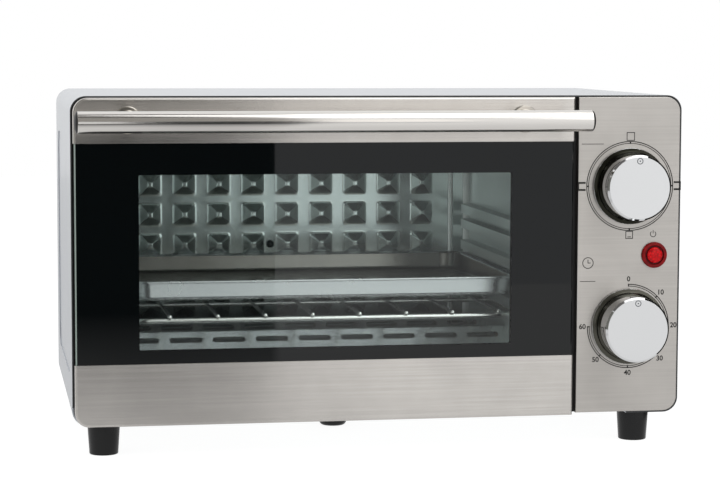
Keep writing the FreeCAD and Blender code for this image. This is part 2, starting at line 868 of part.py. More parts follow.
def hinge_screws():
    """Two pan-head screws through each bracket's foot into the base pan."""
    screws = []
    for hinge_x, side in zip(hinge_centres, (1, -1)):
        for x, y in hinge_screw_places(hinge_x, side):
            top = base_top + bracket_thickness
            head = rod((x, y, top), Z_AXIS, 2.4, 1.4)
            stem = rod((x, y, inner_bottom), Z_AXIS, hinge_screw_radius, top - inner_bottom)
            driver = box(x - 1.6, x + 1.6, y - 0.3, y + 0.3, top + 0.6, top + 2)
            screws.append(head.fuse(stem).cut(driver))
    return together(screws)


def side_wall(inner_x, side):
    """A cavity side with its three pairs of shelf guides; side is 1 on the right and -1 on the left."""
    x0, x1 = sorted((inner_x, inner_x + side * cavity_wall))
    wall = box(x0, x1, cavity_front, cavity_back, cavity_floor_height - cavity_wall, cavity_top + cavity_wall)
    y_end = cavity_back - guide_rear_margin
    ribs = []
    hollows = []
    for level in guide_levels:
        for low in (level - guide_rib_height, level + guide_slot):
            ribs.append(guide_rib(inner_x, side, low, low + guide_rib_height, guide_front, y_end, 0.0))
            hollows.append(guide_rib(inner_x, side, low, low + guide_rib_height, guide_front, y_end,
                                     cavity_wall))
    wall = wall.fuse(ribs).cut(hollows)
    flange_x0, flange_x1 = sorted((inner_x + side * cavity_wall, inner_x - side * back_flange))
    flange = box(flange_x0, flange_x1, cavity_back - cavity_wall, cavity_back,
                 cavity_floor_height, cavity_top)
    wall = wall.fuse(flange)
    holes = []
    for y in heater_lines:
        for z in (heater_low, heater_high):
            holes.append(rod((inner_x - side * 3, y, z), Vector(side, 0, 0), insulator_radius + 0.05, 8))
    return wall.cut(holes)


def guide_rib(inner_x, side, z0, z1, y0, y1, inset):
    """One shelf rib with sloped ends; an inset gives the hollow on the sheet's other face."""
    base = inner_x + side * (cavity_wall + 0.01 if inset else 0.01)
    tip = inner_x - side * (guide_reach - inset)
    slope = guide_end_slope
    z = z0 + inset
    front, rear = y0 + inset, y1 - inset
    loop = Part.makePolygon([Vector(base, front, z), Vector(tip, front + slope, z),
                             Vector(tip, rear - slope, z), Vector(base, rear, z), Vector(base, front, z)])
    return Part.Face(loop).extrude(Vector(0, 0, z1 - z0 - 2 * inset))


def cavity_plate(z0, z1):
    """The cavity's ceiling or floor, between the side walls and the back wall's flanges."""
    return box(cavity_left, cavity_right, cavity_front, cavity_back - cavity_wall, z0, z1)


def pyramid(x, z, y, base, top, height):
    """One pressed pyramid with a small flat top that points to the front."""
    loops = []
    for half, line in ((base / 2, y), (top / 2, y - height)):
        loops.append(Part.makePolygon([Vector(x - half, line, z - half), Vector(x + half, line, z - half),
                                       Vector(x + half, line, z + half), Vector(x - half, line, z + half),
                                       Vector(x - half, line, z - half)]))
    return Part.makeLoft(loops, True, True)


def pyramid_places():
    """The middles of the pyramids: X, Z."""
    places = []
    for column in range(pyramid_columns):
        x = cavity_centre + (column - (pyramid_columns - 1) / 2) * pyramid_pitch_x
        for row in range(pyramid_rows):
            places.append((x, pyramid_first_row + row * pyramid_pitch_z))
    return places


def back_screw_place():
    """The screw sits between two columns and two rows of pyramids: X, Z."""
    column = (pyramid_columns - 1) // 2
    x = cavity_centre + (column - 0.5 - (pyramid_columns - 1) / 2) * pyramid_pitch_x
    return x, pyramid_first_row + 2 * pyramid_pitch_z


def cavity_back_wall():
    """The back sheet: a flat edge, a field stepped forward, and rows of hollow pyramids."""
    front = back_sheet_front
    x0, x1 = cavity_left + 0.1, cavity_right - 0.1
    z0, z1 = cavity_floor_height + 0.1, cavity_top - 0.1
    plate = box(x0, x1, front, front + cavity_wall, z0, z1)
    field_front = front - back_field_step
    margin = back_field_margin
    field = box(x0 + margin, x1 - margin, field_front, front + 0.01, z0 + margin, z1 - margin)
    hollow = box(x0 + margin + cavity_wall, x1 - margin - cavity_wall, field_front + cavity_wall,
                 front + cavity_wall + 1, z0 + margin + cavity_wall, z1 - margin - cavity_wall)
    wall = plate.fuse(field).cut(hollow)
    places = pyramid_places()
    outer = [pyramid(x, z, field_front + 0.01, pyramid_base, pyramid_top, pyramid_height) for x, z in places]
    shrink = cavity_wall * 0.8
    inner = [pyramid(x, z, field_front + cavity_wall + 0.01, pyramid_base - shrink, pyramid_top - shrink,
                     pyramid_height - 0.05) for x, z in places]
    wall = wall.fuse(outer).cut(inner)
    x, z = back_screw_place()
    return wall.cut(rod((x, field_front - 1, z), Y_AXIS, 1.52, 4))


def back_wall_screw():
    """A pan-head screw through the back wall into the cut-out's clip."""
    x, z = back_screw_place()
    face = back_sheet_front - back_field_step
    head = turned([(0, face), (2.6, face), (2.6, face - 0.5), (1.7, face - 1.3), (0, face - 1.3)], x, z)
    stem = rod((x, face, z), Y_AXIS, 1.5, 6.5)
    driver = rod((x, face - 1.4, z), Y_AXIS, 0.7, 0.9)
    return head.fuse(stem).cut(driver)


def thermal_cutout():
    """A small round cut-out in a clip on the back wall's rear face."""
    x, z = back_screw_place()
    start = back_sheet_front + cavity_wall - back_field_step
    clip = box(x - 5, x + 22, start, start + 0.8, z - 5, z + 5)
    can = rod((x + 13, start + 0.8, z), Y_AXIS, 6.0, 6.0)
    hole = rod((x, start - 1, z), Y_AXIS, 1.52, 4)
    blades = [box(x + 13 + dx - 0.3, x + 13 + dx + 0.3, start + 6.5, start + 11, z - 2, z + 2)
              for dx in (-3, 3)]
    return joined([clip, can] + blades).cut(hole)


def heater_tubes(z):
    """Two straight sheathed elements with a terminal pin at each end."""
    x0 = cavity_left - heater_overhang
    x1 = cavity_right + heater_overhang
    tubes = []
    for y in heater_lines:
        tube = rod((x0, y, z), X_AXIS, heater_radius, x1 - x0)
        pin = rod((x0 - terminal_length, y, z), X_AXIS, terminal_radius, x1 - x0 + 2 * terminal_length)
        tubes.append(tube.fuse(pin))
    return together(tubes)


def heater_links():
    """Flat bars that join the two tubes of each level at their left ends."""
    links = []
    x = cavity_left - heater_overhang - terminal_length / 2
    for z in (heater_low, heater_high):
        y0, y1 = heater_lines[0] - link_width / 2, heater_lines[1] + link_width / 2
        bar = box(x - link_thickness / 2, x + link_thickness / 2, y0, y1, z - link_width / 2,
                  z + link_width / 2)
        holes = [rod((x - 2, y, z), X_AXIS, terminal_radius + fixed_gap, 4) for y in heater_lines]
        links.append(bar.cut(holes))
    return together(links)


def heater_insulators():
    """Ceramic bushes that hold the elements in the cavity's side walls."""
    bushes = []
    for y in heater_lines:
        for z in (heater_low, heater_high):
            for inner_x, side in ((cavity_left, -1), (cavity_right, 1)):
                direction = Vector(side, 0, 0)
                collar = rod((inner_x - side * 2, y, z), direction, insulator_collar, 2)
                neck = rod((inner_x - side * 2, y, z), direction, insulator_radius,
                           2 + cavity_wall + insulator_length)
                bore = rod((inner_x - side * 3, y, z), direction, heater_radius + 0.05, 14)
                bushes.append(collar.fuse(neck).cut(bore))
    return together(bushes)


def guard_profile(y_front, inset):
    """The roof-shaped section of a guard, outer with no inset and inner with the sheet's thickness."""
    run = (guard_apex - guard_foot) / math.tan(math.radians(guard_slope_deg))
    side = inset / math.sin(math.radians(guard_slope_deg))
    low = guard_foot - (0.1 if inset else 0)
    lean = (guard_foot - low) / math.tan(math.radians(guard_slope_deg))
    top = guard_apex - inset
    drop = inset / math.tan(math.radians(guard_slope_deg))
    return [(y_front - run - lean + side, low), (y_front - drop + side, top),
            (y_front + guard_flat + drop - side, top), (y_front + guard_flat + run + lean - side, low)]


def heater_guards():
    """Roof-shaped guards over the lower heaters, with a row of slots in each slope."""
    guards = []
    for line in heater_lines:
        y_front = line - guard_flat / 2
        x0, x1 = cavity_left, cavity_right
        shell = side_section(guard_profile(y_front, 0), x0, x1)
        shell = shell.cut(side_section(guard_profile(y_front, guard_wall), x0 - 1, x1 + 1))
        guards.append(shell.cut(guard_slot_tools(y_front)))
    return together(guards)


def guard_slot_tools(y_front):
    """Slot cutters square to the two slopes of one guard."""
    tools = []
    along = guard_slot_drop
    slope = math.radians(guard_slope_deg)
    for facing in (-1, 1):
        y_edge = y_front if facing < 0 else y_front + guard_flat
        y = y_edge + facing * along * math.cos(slope)
        z = guard_apex - along * math.sin(slope)
        for index in range(guard_slots):
            x = cavity_centre + guard_slot_shift + (index - (guard_slots - 1) / 2) * guard_slot_pitch
            tool = front_plate(-guard_slot_length / 2, guard_slot_length / 2, -guard_slot_height / 2,
                               guard_slot_height / 2, -2, 2, (guard_slot_height / 2 - 0.01,) * 4)
            tool.rotate(Vector(0, 0, 0), X_AXIS, facing * (90 - guard_slope_deg))
            tool.translate(Vector(x, y, z))
            tools.append(tool)
    return tools


def wire_rack():
    """A frame rod bent round four corners, cross rods and long wires laid over them."""
    z = guide_levels[0] + slide_gap + rack_rod_radius
    x0, x1 = cavity_left + rack_side_gap, cavity_right - rack_side_gap
    y0, y1 = rack_front, cavity_back - rack_rear_gap
    path = level_loop(x0, x1, y0, y1, rack_corner, z)
    start = path.Edges[0].Vertexes[0].Point
    direction = path.Edges[0].tangentAt(path.Edges[0].FirstParameter)
    section = Part.Wire(Part.makeCircle(rack_rod_radius, start, direction))
    frame = path.makePipeShell([section], True, False)
    middle = rod((x0, (y0 + y1) / 2, z), X_AXIS, rack_rod_radius - 0.3, x1 - x0)
    pieces = [frame, middle]
    wire_z = z + rack_rod_radius + rack_wire_radius - 0.3
    for index in range(rack_wires):
        x = cavity_centre + rack_wire_shift + (index - (rack_wires - 1) / 2) * rack_wire_pitch
        pieces.append(rod((x, y0 - 1.2, wire_z), Y_AXIS, rack_wire_radius, y1 - y0 + 2.4))
        pieces.append(Part.makeSphere(rack_wire_radius * 1.25, Vector(x, y0 - 1.2, wire_z)))
    return pieces[0].fuse(pieces[1:])


def tray_bounds(inset):
    """The tray's outline pulled in by an inset: low X, high X, front, back."""
    return (cavity_left + tray_side_gap + inset, cavity_right - tray_side_gap - inset,
            tray_front + inset, cavity_back - tray_rear_gap - inset)


def tray_loft(grow, z0, z1):
    """The tray's drawn bowl, as a solid; grow is measured outwards from the inner face."""
    mouth_corner = tray_corner - tray_rim + grow
    top = level_loop(*tray_bounds(tray_rim - grow), mouth_corner, z1)
    low = level_loop(*tray_bounds(tray_rim + tray_draft - grow), mouth_corner - tray_draft + tray_spread, z0)
    return Part.makeLoft([low, top], True, True)


def baking_tray():
    """A shallow drawn tray with a flat rim and a beaded edge."""
    rim_z = guide_levels[1] + slide_gap
    top_z = rim_z + tray_wall
    floor_z = top_z - tray_drop
    rim = level_plate(*tray_bounds(0), rim_z, top_z, tray_corner)
    bead = level_plate(*tray_bounds(0), rim_z, rim_z + tray_bead, tray_corner)
    bead = bead.cut(level_plate(*tray_bounds(tray_bead), rim_z - 1, rim_z + tray_bead + 1,
                                tray_corner - tray_bead))
    bowl = tray_loft(tray_wall, floor_z, top_z)
    inside = tray_loft(0, floor_z + tray_wall, top_z)
    above = level_plate(*tray_bounds(tray_rim), top_z - 0.01, top_z + 5, tray_corner - tray_rim)
    return rim.fuse([bead, bowl]).cut([inside, above])


def crumb_tray():
    """A flat sheet on the cavity floor with low turned-up edges."""
    x0, x1 = cavity_left + crumb_side_gap, cavity_right - crumb_side_gap
    y0, y1 = crumb_front, cavity_back - crumb_rear_gap
    z0 = cavity_floor_height + slide_gap
    tray = box(x0, x1, y0, y1, z0, z0 + crumb_lip)
    hollow = box(x0 + crumb_wall, x1 - crumb_wall, y0 + crumb_wall, y1 + 1, z0 + crumb_wall,
                 z0 + crumb_lip + 1)
    return tray.cut(hollow)


def knob(z):
    """A turned knob with a wide skirt, hollow behind, with a boss and a flat that takes the shaft."""
    back = -knob_gap
    face = -knob_height
    rim = knob_rim_round
    skirt_front = back - knob_skirt_height
    outer = [(0, back), (knob_skirt_radius, back), (knob_skirt_radius - 0.3, skirt_front + 0.6),
             (knob_skirt_radius - 1.0, skirt_front), (knob_radius, skirt_front - 0.3),
             (knob_face_radius, face + rim)]
    for turn in (30, 60, 90):
        angle = math.radians(turn)
        outer.append((knob_face_radius - rim * (1 - math.cos(angle)), face + rim * (1 - math.sin(angle))))
    outer.append((0, face))
    body = turned(outer, knob_x, z)
    hollow = turned([(0, back + 1), (knob_radius - knob_wall, back + 1),
                     (knob_face_radius - knob_wall, face + knob_wall), (0, face + knob_wall)], knob_x, z)
    boss_length = knob_height - knob_gap - knob_wall + 0.5
    boss = rod((knob_x, back, z), Vector(0, -1, 0), knob_boss_radius, boss_length)
    body = body.cut(hollow).fuse(boss)
    bore = shaft_section(z, shaft_radius + 0.01, shaft_flat + 0.01, face + knob_wall + 1.0, back + 1)
    index = rod((knob_x, face - 1, z + knob_face_radius - knob_index_inset), Y_AXIS, knob_index_radius,
                1 + knob_index_depth)
    keep = rod((knob_x, face - 1, z + knob_face_radius - knob_index_inset), Y_AXIS, knob_index_radius - 0.6,
               1 + knob_index_depth)
    return body.cut([bore, index.cut(keep)])


def shaft_section(z, radius, flat, y0, y1):
    """A round bar along Y with one flat on its upper side."""
    bar = rod((knob_x, y0, z), Y_AXIS, radius, y1 - y0)
    return bar.cut(box(knob_x - radius - 1, knob_x + radius + 1, y0 - 1, y1 + 1, z + flat, z + radius + 1))


def control_shaft(z, depth):
    """The shaft of a switch or timer: a flat end in the knob and a round end in the body."""
    tip = -knob_height + knob_wall + 1.2
    flat = shaft_section(z, shaft_radius, shaft_flat, tip, -knob_gap)
    barrel = rod((knob_x, -knob_gap, z), Y_AXIS, shaft_radius, depth * 0.6 + knob_gap)
    return flat.fuse(barrel)


def shaft_bore(z, depth):
    """The tool for the shaft's bearing in a switch or timer body."""
    return rod((knob_x, panel_wall - 1, z), Y_AXIS, shaft_radius + shaft_gap, depth * 0.6 + 1.3)


def function_switch():
    """The rotary switch's moulded body with its terminals."""
    half = switch_width / 2
    body = box(knob_x - half, knob_x + half, panel_wall, panel_wall + switch_depth, function_height - half,
               function_height + half)
    edges = [edge for edge in body.Edges if abs(edge.tangentAt(0).y) > 0.9]
    body = body.makeFillet(2.5, edges)
    tabs = []
    for dx in (-switch_tab_spread, 0, switch_tab_spread):
        for dz in (-switch_tab_rise, switch_tab_rise):
            tabs.append(box(knob_x + dx - 0.4, knob_x + dx + 0.4, panel_wall + switch_depth - 1,
                            panel_wall + switch_depth + switch_tab_length, function_height + dz - 2.4,
                            function_height + dz + 2.4))
    body = body.fuse(tabs)
    return body.cut([shaft_bore(function_height, switch_depth)] + switch_screw_bores(function_height))


def switch_screw_bores(z):
    """The threaded holes for the two panel screws in a switch or timer body."""
    return [rod((knob_x, panel_wall - 1, z + dz), Y_AXIS, switch_screw_radius + 0.02, 8.2)
            for dz in (-screw_circle, screw_circle)]


def timer_body():
    """The clockwork timer's case with a front plate and two terminals."""
    half = timer_width / 2
    tall = timer_tall / 2
    plate = front_plate(knob_x - half, knob_x + half, timer_height - tall, timer_height + tall, panel_wall,
                        panel_wall + 1.2, (4,) * 4)
    case = front_plate(knob_x - half + 2, knob_x + half - 2, timer_height - tall + 2,
                       timer_height + tall - 2, panel_wall + 1.2, panel_wall + timer_depth, (3,) * 4)
    tabs = [box(knob_x - half - timer_tab_length, knob_x - half + 3, panel_wall + 9, panel_wall + 9.8,
                timer_height + dz - 2.4, timer_height + dz + 2.4) for dz in (-timer_tab_rise, timer_tab_rise)]
    post = rod((knob_x, panel_wall + timer_depth, timer_height), Y_AXIS, 2.0, bell_depth - bell_wall)
    body = plate.fuse([case, post] + tabs)
    return body.cut([shaft_bore(timer_height, timer_depth)] + switch_screw_bores(timer_height))


def timer_bell():
    """The shallow steel bell on the back of the timer."""
    start = panel_wall + timer_depth + 0.6
    end = panel_wall + timer_depth + bell_depth
    outer = [(0, end), (bell_radius - 5, end), (bell_radius, end - 5), (bell_radius, start),
             (bell_radius - bell_wall, start), (bell_radius - bell_wall, end - 5 - 0.4),
             (bell_radius - 5 - 0.4, end - bell_wall), (0, end - bell_wall)]
    return turned(outer, knob_x, timer_height)


def switch_screws():
    """Four flush screws under the knobs that hold the switch and the timer to the panel."""
    screws = []
    for z in (function_height, timer_height):
        for dz in (-screw_circle, screw_circle):
            screws.append(turned([(0, 0.02), (switch_screw_head - 0.05, 0.02), (switch_screw_radius, 0.7),
                                  (switch_screw_radius, 7.5), (0, 7.5)], knob_x, z + dz))
    return together(screws)


def pilot_lamp_lens():
    """The red lens: a flange on the panel, a groove, a low dome and a hollow barrel."""
    flange = lamp_flange_thickness
    groove = lamp_dome_radius + lamp_groove
    profile = [(0, -flange - lamp_dome_height)]
    for turn in (30, 60):
        angle = math.radians(turn)
        profile.append((lamp_dome_radius * math.sin(angle), -flange - lamp_dome_height * math.cos(angle)))
    profile += [(lamp_dome_radius, -flange), (lamp_dome_radius, -flange + 0.7), (groove, -flange + 0.7),
                (groove, -flange), (lamp_flange_radius - 0.6, -flange), (lamp_flange_radius, -flange + 0.6),
                (lamp_flange_radius, 0), (lamp_barrel_radius, 0), (lamp_barrel_radius, lamp_barrel_length),
                (lamp_barrel_radius - lamp_wall, lamp_barrel_length), (lamp_barrel_radius - lamp_wall, 0.4),
                (0, 0.4)]
    return turned(profile, lamp_x, lamp_height)


def pilot_lamp_nut():
    """The push-on nut behind the panel."""
    return ring((lamp_x, panel_wall, lamp_height), Y_AXIS, lamp_nut_radius, lamp_barrel_radius + 0.02,
                lamp_nut_thickness)


def neon_bulb():
    """The small glass neon inside the lens, with its plug at the rear."""
    bulb = rod((lamp_x, neon_start, lamp_height), Y_AXIS, neon_radius, neon_length)
    plug = rod((lamp_x, neon_start + neon_length, lamp_height), Y_AXIS,
               lamp_barrel_radius - lamp_wall - fixed_gap, neon_plug_length)
    return bulb.fuse(plug)


def inlet_bush():
    """The bush in the rear cover that a mains lead would pass through, left open with no lead."""
    flange = rod((inlet_x, rear_face, inlet_height), Y_AXIS, inlet_flange_radius, 2.0)
    nose = rod((inlet_x, rear_face, inlet_height), Y_AXIS, inlet_body_radius, inlet_rise)
    neck = rod((inlet_x, casing_back - 3, inlet_height), Y_AXIS, inlet_body_radius, rear_wall + 3)
    lock = ring((inlet_x, casing_back - 2.4, inlet_height), Y_AXIS, inlet_body_radius + 1.2,
                inlet_body_radius - 1, 2.2)
    hole = rod((inlet_x, casing_back - 4, inlet_height), Y_AXIS, inlet_hole_radius, 14)
    return joined([flange, nose, neck, lock]).cut(hole)


def heat_shield():
    """A plate between the cavity and the controls, on a foot on the base pan."""
    y0, y1 = panel_flange + 4, rear_flange_front - 4
    plate = box(shield_x, shield_x + shield_wall, y0, y1, base_top, cavity_top + 8)
    edge = box(shield_x - shield_foot, shield_x + shield_wall, y0, y1, base_top, base_top + shield_wall)
    holes = [rod((shield_x - 2, y, z), X_AXIS, shield_hole_radius, 5)
             for y, z in ((heater_lines[0], heater_low), (heater_lines[1], heater_low),
                          (heater_lines[0], heater_high), (heater_lines[1], heater_high))]
    return joined([plate, edge]).cut(holes)


def terminal_block():
    """The three-pole block on the base pan where the mains wires end."""
    lx, ly, lz = block_size
    x0, y0 = block_x - lx / 2, block_line - ly / 2
    body = box(x0, x0 + lx, y0, y0 + ly, base_top, base_top + lz)
    wells = [rod((x, y, base_top + lz - well_depth), Z_AXIS, well_radius, well_depth + 1)
             for x, y in terminal_places()]
    return body.cut(wells)


def terminal_screws():
    """Six screws in the terminal block's wells."""
    floor = base_top + block_size[2] - well_depth
    screws = []
    for x, y in terminal_places():
        head = rod((x, y, floor), Z_AXIS, well_radius - 0.4, 1.6)
        screws.append(head.cut(box(x - 3, x + 3, y - 0.3, y + 0.3, floor + 1, floor + 3)))
    return together(screws)


def terminal_places():
    """The six wells of the terminal block: X, Y."""
    pitch = block_size[0] / 3
    return [(block_x + (pole - 1) * pitch, block_line + row * well_offset)
            for pole in range(3) for row in (-1, 1)]


def wire_route(points):
    """A round wire of straight runs joined by tangent arcs through a list of points."""
    edges = []
    last = points[0]
    for before, corner, after in zip(points, points[1:], points[2:]):
        into = (corner - before).normalize()
        out = (after - corner).normalize()
        turn = into.getAngle(out)
        run = min((corner - before).Length, (after - corner).Length)
        trim = 0.45 * run
        radius = trim / math.tan(turn / 2)
        start, end = corner - into * trim, corner + out * trim
        middle = corner + (out - into).normalize() * (radius / math.cos(turn / 2) - radius)
        edges.append(Part.LineSegment(last, start).toShape())
        edges.append(Part.Arc(start, middle, end).toShape())
        last = end
    edges.append(Part.LineSegment(last, points[-1]).toShape())
    path = Part.Wire(edges)
    direction = (points[1] - points[0]).normalize()
    section = Part.Wire(Part.makeCircle(wire_radius, points[0], direction))
    return path.makePipeShell([section], True, False)


def internal_wires():
    """Insulated wires between the block, the timer, the switch, the lamp and the heater ends."""
    block_top = base_top + block_size[2]
    block_front = block_line - block_size[1] / 2
    entry = block_top - 5.0
    tab_end = panel_wall + switch_depth + switch_tab_length
    tab_run = tab_end + 12
    high, low = function_height + switch_tab_rise, function_height - switch_tab_rise
    left, right = knob_x - switch_tab_spread, knob_x + switch_tab_spread
    timer_tab_x = knob_x - timer_width / 2 - timer_tab_length
    timer_low, timer_high = timer_height - timer_tab_rise, timer_height + timer_tab_rise
    timer_line = panel_wall + 9.4
    pin_end = cavity_right + heater_overhang + terminal_length
    lamp_back = neon_start + neon_length + neon_plug_length
    wire_x = timer_tab_x - wire_radius
    near, far = heater_lines
    beyond = shield_x + 6
    inner_side = knob_x - 25
    routes = (
        ((block_x - 10, block_front, entry), (block_x - 10, block_front - 21, entry),
         (inner_side + 8, block_front - 49, base_top + 15), (inner_side - 1, 68, timer_low - 14),
         (wire_x, 36, timer_low), (wire_x, timer_line, timer_low)),
        ((wire_x, timer_line, timer_high), (wire_x, 36, timer_high), (inner_side - 2, 54, timer_high + 22),
         (inner_side + 3, 62, low - 21), (left, tab_run + 8, low), (left, tab_end, low)),
        ((right, tab_end, low), (right, tab_run, low), (knob_x + 14, 46, low - 15), (lamp_x, 40, lamp_height),
         (lamp_x, lamp_back, lamp_height)),
        ((block_x + 10, block_front, entry), (block_x + 10, block_front - 27, entry),
         (knob_x + 18, 92, timer_height - 18), (knob_x + 20, 66, timer_height + 26),
         (right + 2, tab_run + 14, high), (right, tab_run, high), (right, tab_end, high)),
        ((pin_end, near, heater_high), (beyond, near, heater_high),
         (inner_side + 10, near - 8, heater_high - 2), (left, tab_run + 4, high), (left, tab_end, high)),
        ((pin_end, near, heater_low), (beyond, near, heater_low), (inner_side + 9, near + 2, heater_low + 17),
         (knob_x - 9, near - 10, timer_high + 26), (knob_x, tab_run + 8, low), (knob_x, tab_end, low)),
        ((pin_end, far, heater_low), (beyond + 4, far, heater_low),
         (block_x - 6, far - 6, heater_low + 5), (block_x, far - 10, heater_low - 9),
         (block_x, block_front - 9, entry), (block_x, block_front, entry)),
    )
    return together([wire_route([Vector(*point) for point in route]) for route in routes])


def foot(x, y):
    """A tapered foot with a recess for its screw."""
    body = Part.makeCone(foot_bottom_radius, foot_top_radius, foot_top, Vector(x, y, 0), Z_AXIS)
    recess = rod((x, y, -1), Z_AXIS, foot_recess_radius, foot_recess_depth + 1)
    hole = rod((x, y, 0), Z_AXIS, foot_screw_radius + fixed_gap, foot_top + 1)
    return body.cut([recess, hole])


def centre_foot():
    """A foot with a rounded lower edge under the middle of the base pan."""
    height = inner_bottom
    r, c = centre_foot_radius, centre_foot_round
    points = [Vector(0, 0, 0), Vector(r - c, 0, 0)]
    arc = Part.Arc(Vector(r - c, 0, 0), Vector(r - c + c * math.sin(math.pi / 4), 0,
                                               c - c * math.cos(math.pi / 4)), Vector(r, 0, c))
    edges = [Part.LineSegment(points[0], points[1]).toShape(), arc.toShape(),
             Part.LineSegment(Vector(r, 0, c), Vector(r + 0.6, 0, height)).toShape(),
             Part.LineSegment(Vector(r + 0.6, 0, height), Vector(0, 0, height)).toShape(),
             Part.LineSegment(Vector(0, 0, height), points[0]).toShape()]
    body = Part.Face(Part.Wire(edges)).revolve(Vector(0, 0, 0), Z_AXIS, 360)
    body.translate(Vector(centre_foot_x, centre_foot_line, 0))
    x, y = centre_foot_x, centre_foot_line
    recess = rod((x, y, -1), Z_AXIS, foot_recess_radius, foot_recess_depth + 1)
    hole = rod((x, y, 0), Z_AXIS, foot_screw_radius + fixed_gap, height + 1)
    return body.cut([recess, hole])


def foot_screws():
    """One screw up through each foot, with a nut's worth of thread above the base pan."""
    screws = []
    for x, y in foot_screw_places():
        head = rod((x, y, foot_recess_depth - foot_screw_head_height), Z_AXIS, foot_screw_head,
                   foot_screw_head_height)
        stem = rod((x, y, foot_recess_depth), Z_AXIS, foot_screw_radius, base_top + 5 - foot_recess_depth)
        driver = box(x - 2.4, x + 2.4, y - 0.4, y + 0.4, foot_recess_depth - foot_screw_head_height - 1,
                     foot_recess_depth - foot_screw_head_height + 1.2)
        screws.append(head.fuse(stem).cut(driver))
    return together(screws)


def foot_nuts():
    """The hexagon nuts on the foot screws, on the base pan."""
    nuts = []
    for x, y in foot_screw_places():
        corners = [Vector(x + foot_nut_radius * math.cos(math.radians(60 * k)),
                          y + foot_nut_radius * math.sin(math.radians(60 * k)), base_top) for k in range(7)]
        nut = Part.Face(Part.makePolygon(corners)).extrude(Vector(0, 0, foot_nut_height))
        nuts.append(nut.cut(rod((x, y, base_top - 1), Z_AXIS, foot_screw_radius + fixed_gap,
                                foot_nut_height + 2)))
    return together(nuts)


def build():
    """Make every piece and write it."""
    os.makedirs("parts", exist_ok=True)
    save("outer_casing", outer_casing())
    save("base_pan", base_pan())
    save("rear_cover", rear_cover())
    save("rear_cover_screws", rear_screws())
    save("front_frame", front_frame())
    save("control_panel", control_panel())
    save("door_top_rail", door_top_rail())
    save("door_bottom_rail", door_bottom_rail())
    save("door_stiles", door_stiles())
    save("door_glass", door_glass())
    save("glass_pads", glass_pads())
    save("handle_tube", handle_tube())
    save("handle_end_caps", handle_end_caps())
    save("handle_posts", handle_posts())
    save("handle_screws", handle_screws())
    save("door_hinge_lugs", door_hinge_lugs())
    save("door_hinge_pins", door_hinge_pins())
    save("hinge_brackets", hinge_brackets())
    save("hinge_screws", hinge_screws())
    save("casing_screws", casing_screws())
    save("panel_screws", panel_screws())
    save("cavity_left_wall", side_wall(cavity_left, -1))
    save("cavity_right_wall", side_wall(cavity_right, 1))
    save("cavity_ceiling", cavity_plate(cavity_top, cavity_top + cavity_wall))
    save("cavity_floor", cavity_plate(cavity_floor_height - cavity_wall, cavity_floor_height))
    save("cavity_back_wall", cavity_back_wall())
    save("back_wall_screw", back_wall_screw())
    save("thermal_cutout", thermal_cutout())
    save("upper_heater_tubes", heater_tubes(heater_high))
    save("lower_heater_tubes", heater_tubes(heater_low))
    save("heater_insulators", heater_insulators())
    save("heater_link_bars", heater_links())
    save("heater_guards", heater_guards())
    save("wire_rack", wire_rack())
    save("baking_tray", baking_tray())
    save("crumb_tray", crumb_tray())
    save("function_knob", knob(function_height))
    save("timer_knob", knob(timer_height))
    save("function_shaft", control_shaft(function_height, switch_depth))
    save("timer_shaft", control_shaft(timer_height, timer_depth))
    save("function_switch", function_switch())
    save("timer_body", timer_body())
    save("timer_bell", timer_bell())
    save("switch_screws", switch_screws())
    save("pilot_lamp_lens", pilot_lamp_lens())
    save("pilot_lamp_nut", pilot_lamp_nut())
    save("neon_bulb", neon_bulb())
    save("mains_inlet_bush", inlet_bush())
    save("heat_shield", heat_shield())
    save("terminal_block", terminal_block())
    save("terminal_screws", terminal_screws())
    save("internal_wires", internal_wires())
    for name, x, y in foot_places:
        save(name, foot(x, y))
    save("centre_foot", centre_foot())
    save("foot_screws", foot_screws())
    save("foot_nuts", foot_nuts())


build()
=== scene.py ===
"""Looks of a portable mini oven, built round its packed construction model.

Everything is in the model's own frame: X runs to the right along the front, Y to the back and Z up, with
the origin in the middle of the footprint on the surface that the oven stands on. The studio is stated in
metres. The pieces are worked out in millimetres and scaled by MM where their points are made.
"""

import logging
import math
from collections.abc import Callable
from dataclasses import dataclass, field
from enum import Enum

import bmesh
import bpy
from mathutils import Matrix, Vector


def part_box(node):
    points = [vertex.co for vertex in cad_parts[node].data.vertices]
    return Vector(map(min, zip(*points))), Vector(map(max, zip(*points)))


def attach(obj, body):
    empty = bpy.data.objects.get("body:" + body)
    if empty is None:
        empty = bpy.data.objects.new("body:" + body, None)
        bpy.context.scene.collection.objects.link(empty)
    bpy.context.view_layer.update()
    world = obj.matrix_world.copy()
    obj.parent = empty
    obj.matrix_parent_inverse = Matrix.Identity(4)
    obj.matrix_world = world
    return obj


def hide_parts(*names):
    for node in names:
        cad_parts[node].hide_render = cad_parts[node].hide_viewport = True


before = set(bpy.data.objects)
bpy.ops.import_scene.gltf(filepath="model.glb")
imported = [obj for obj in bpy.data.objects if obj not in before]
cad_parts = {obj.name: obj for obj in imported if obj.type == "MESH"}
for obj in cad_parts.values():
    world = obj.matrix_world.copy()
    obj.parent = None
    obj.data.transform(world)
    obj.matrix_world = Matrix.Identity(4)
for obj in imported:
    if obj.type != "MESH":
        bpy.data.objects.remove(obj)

Tree, Node, Mesh, Object = bpy.types.NodeTree, bpy.types.Node, bpy.types.Mesh, bpy.types.Object
EditMesh = bmesh.types.BMesh
Point = tuple[float, float]
Place = tuple[float, float, float]
Bar = tuple[float, float, float, float]

MM = 0.001
# Points nearer than MERGE_MM become one, and places nearer than TOUCH_MM count as the same.
MERGE_MM = 0.001
TOUCH_MM = 0.01
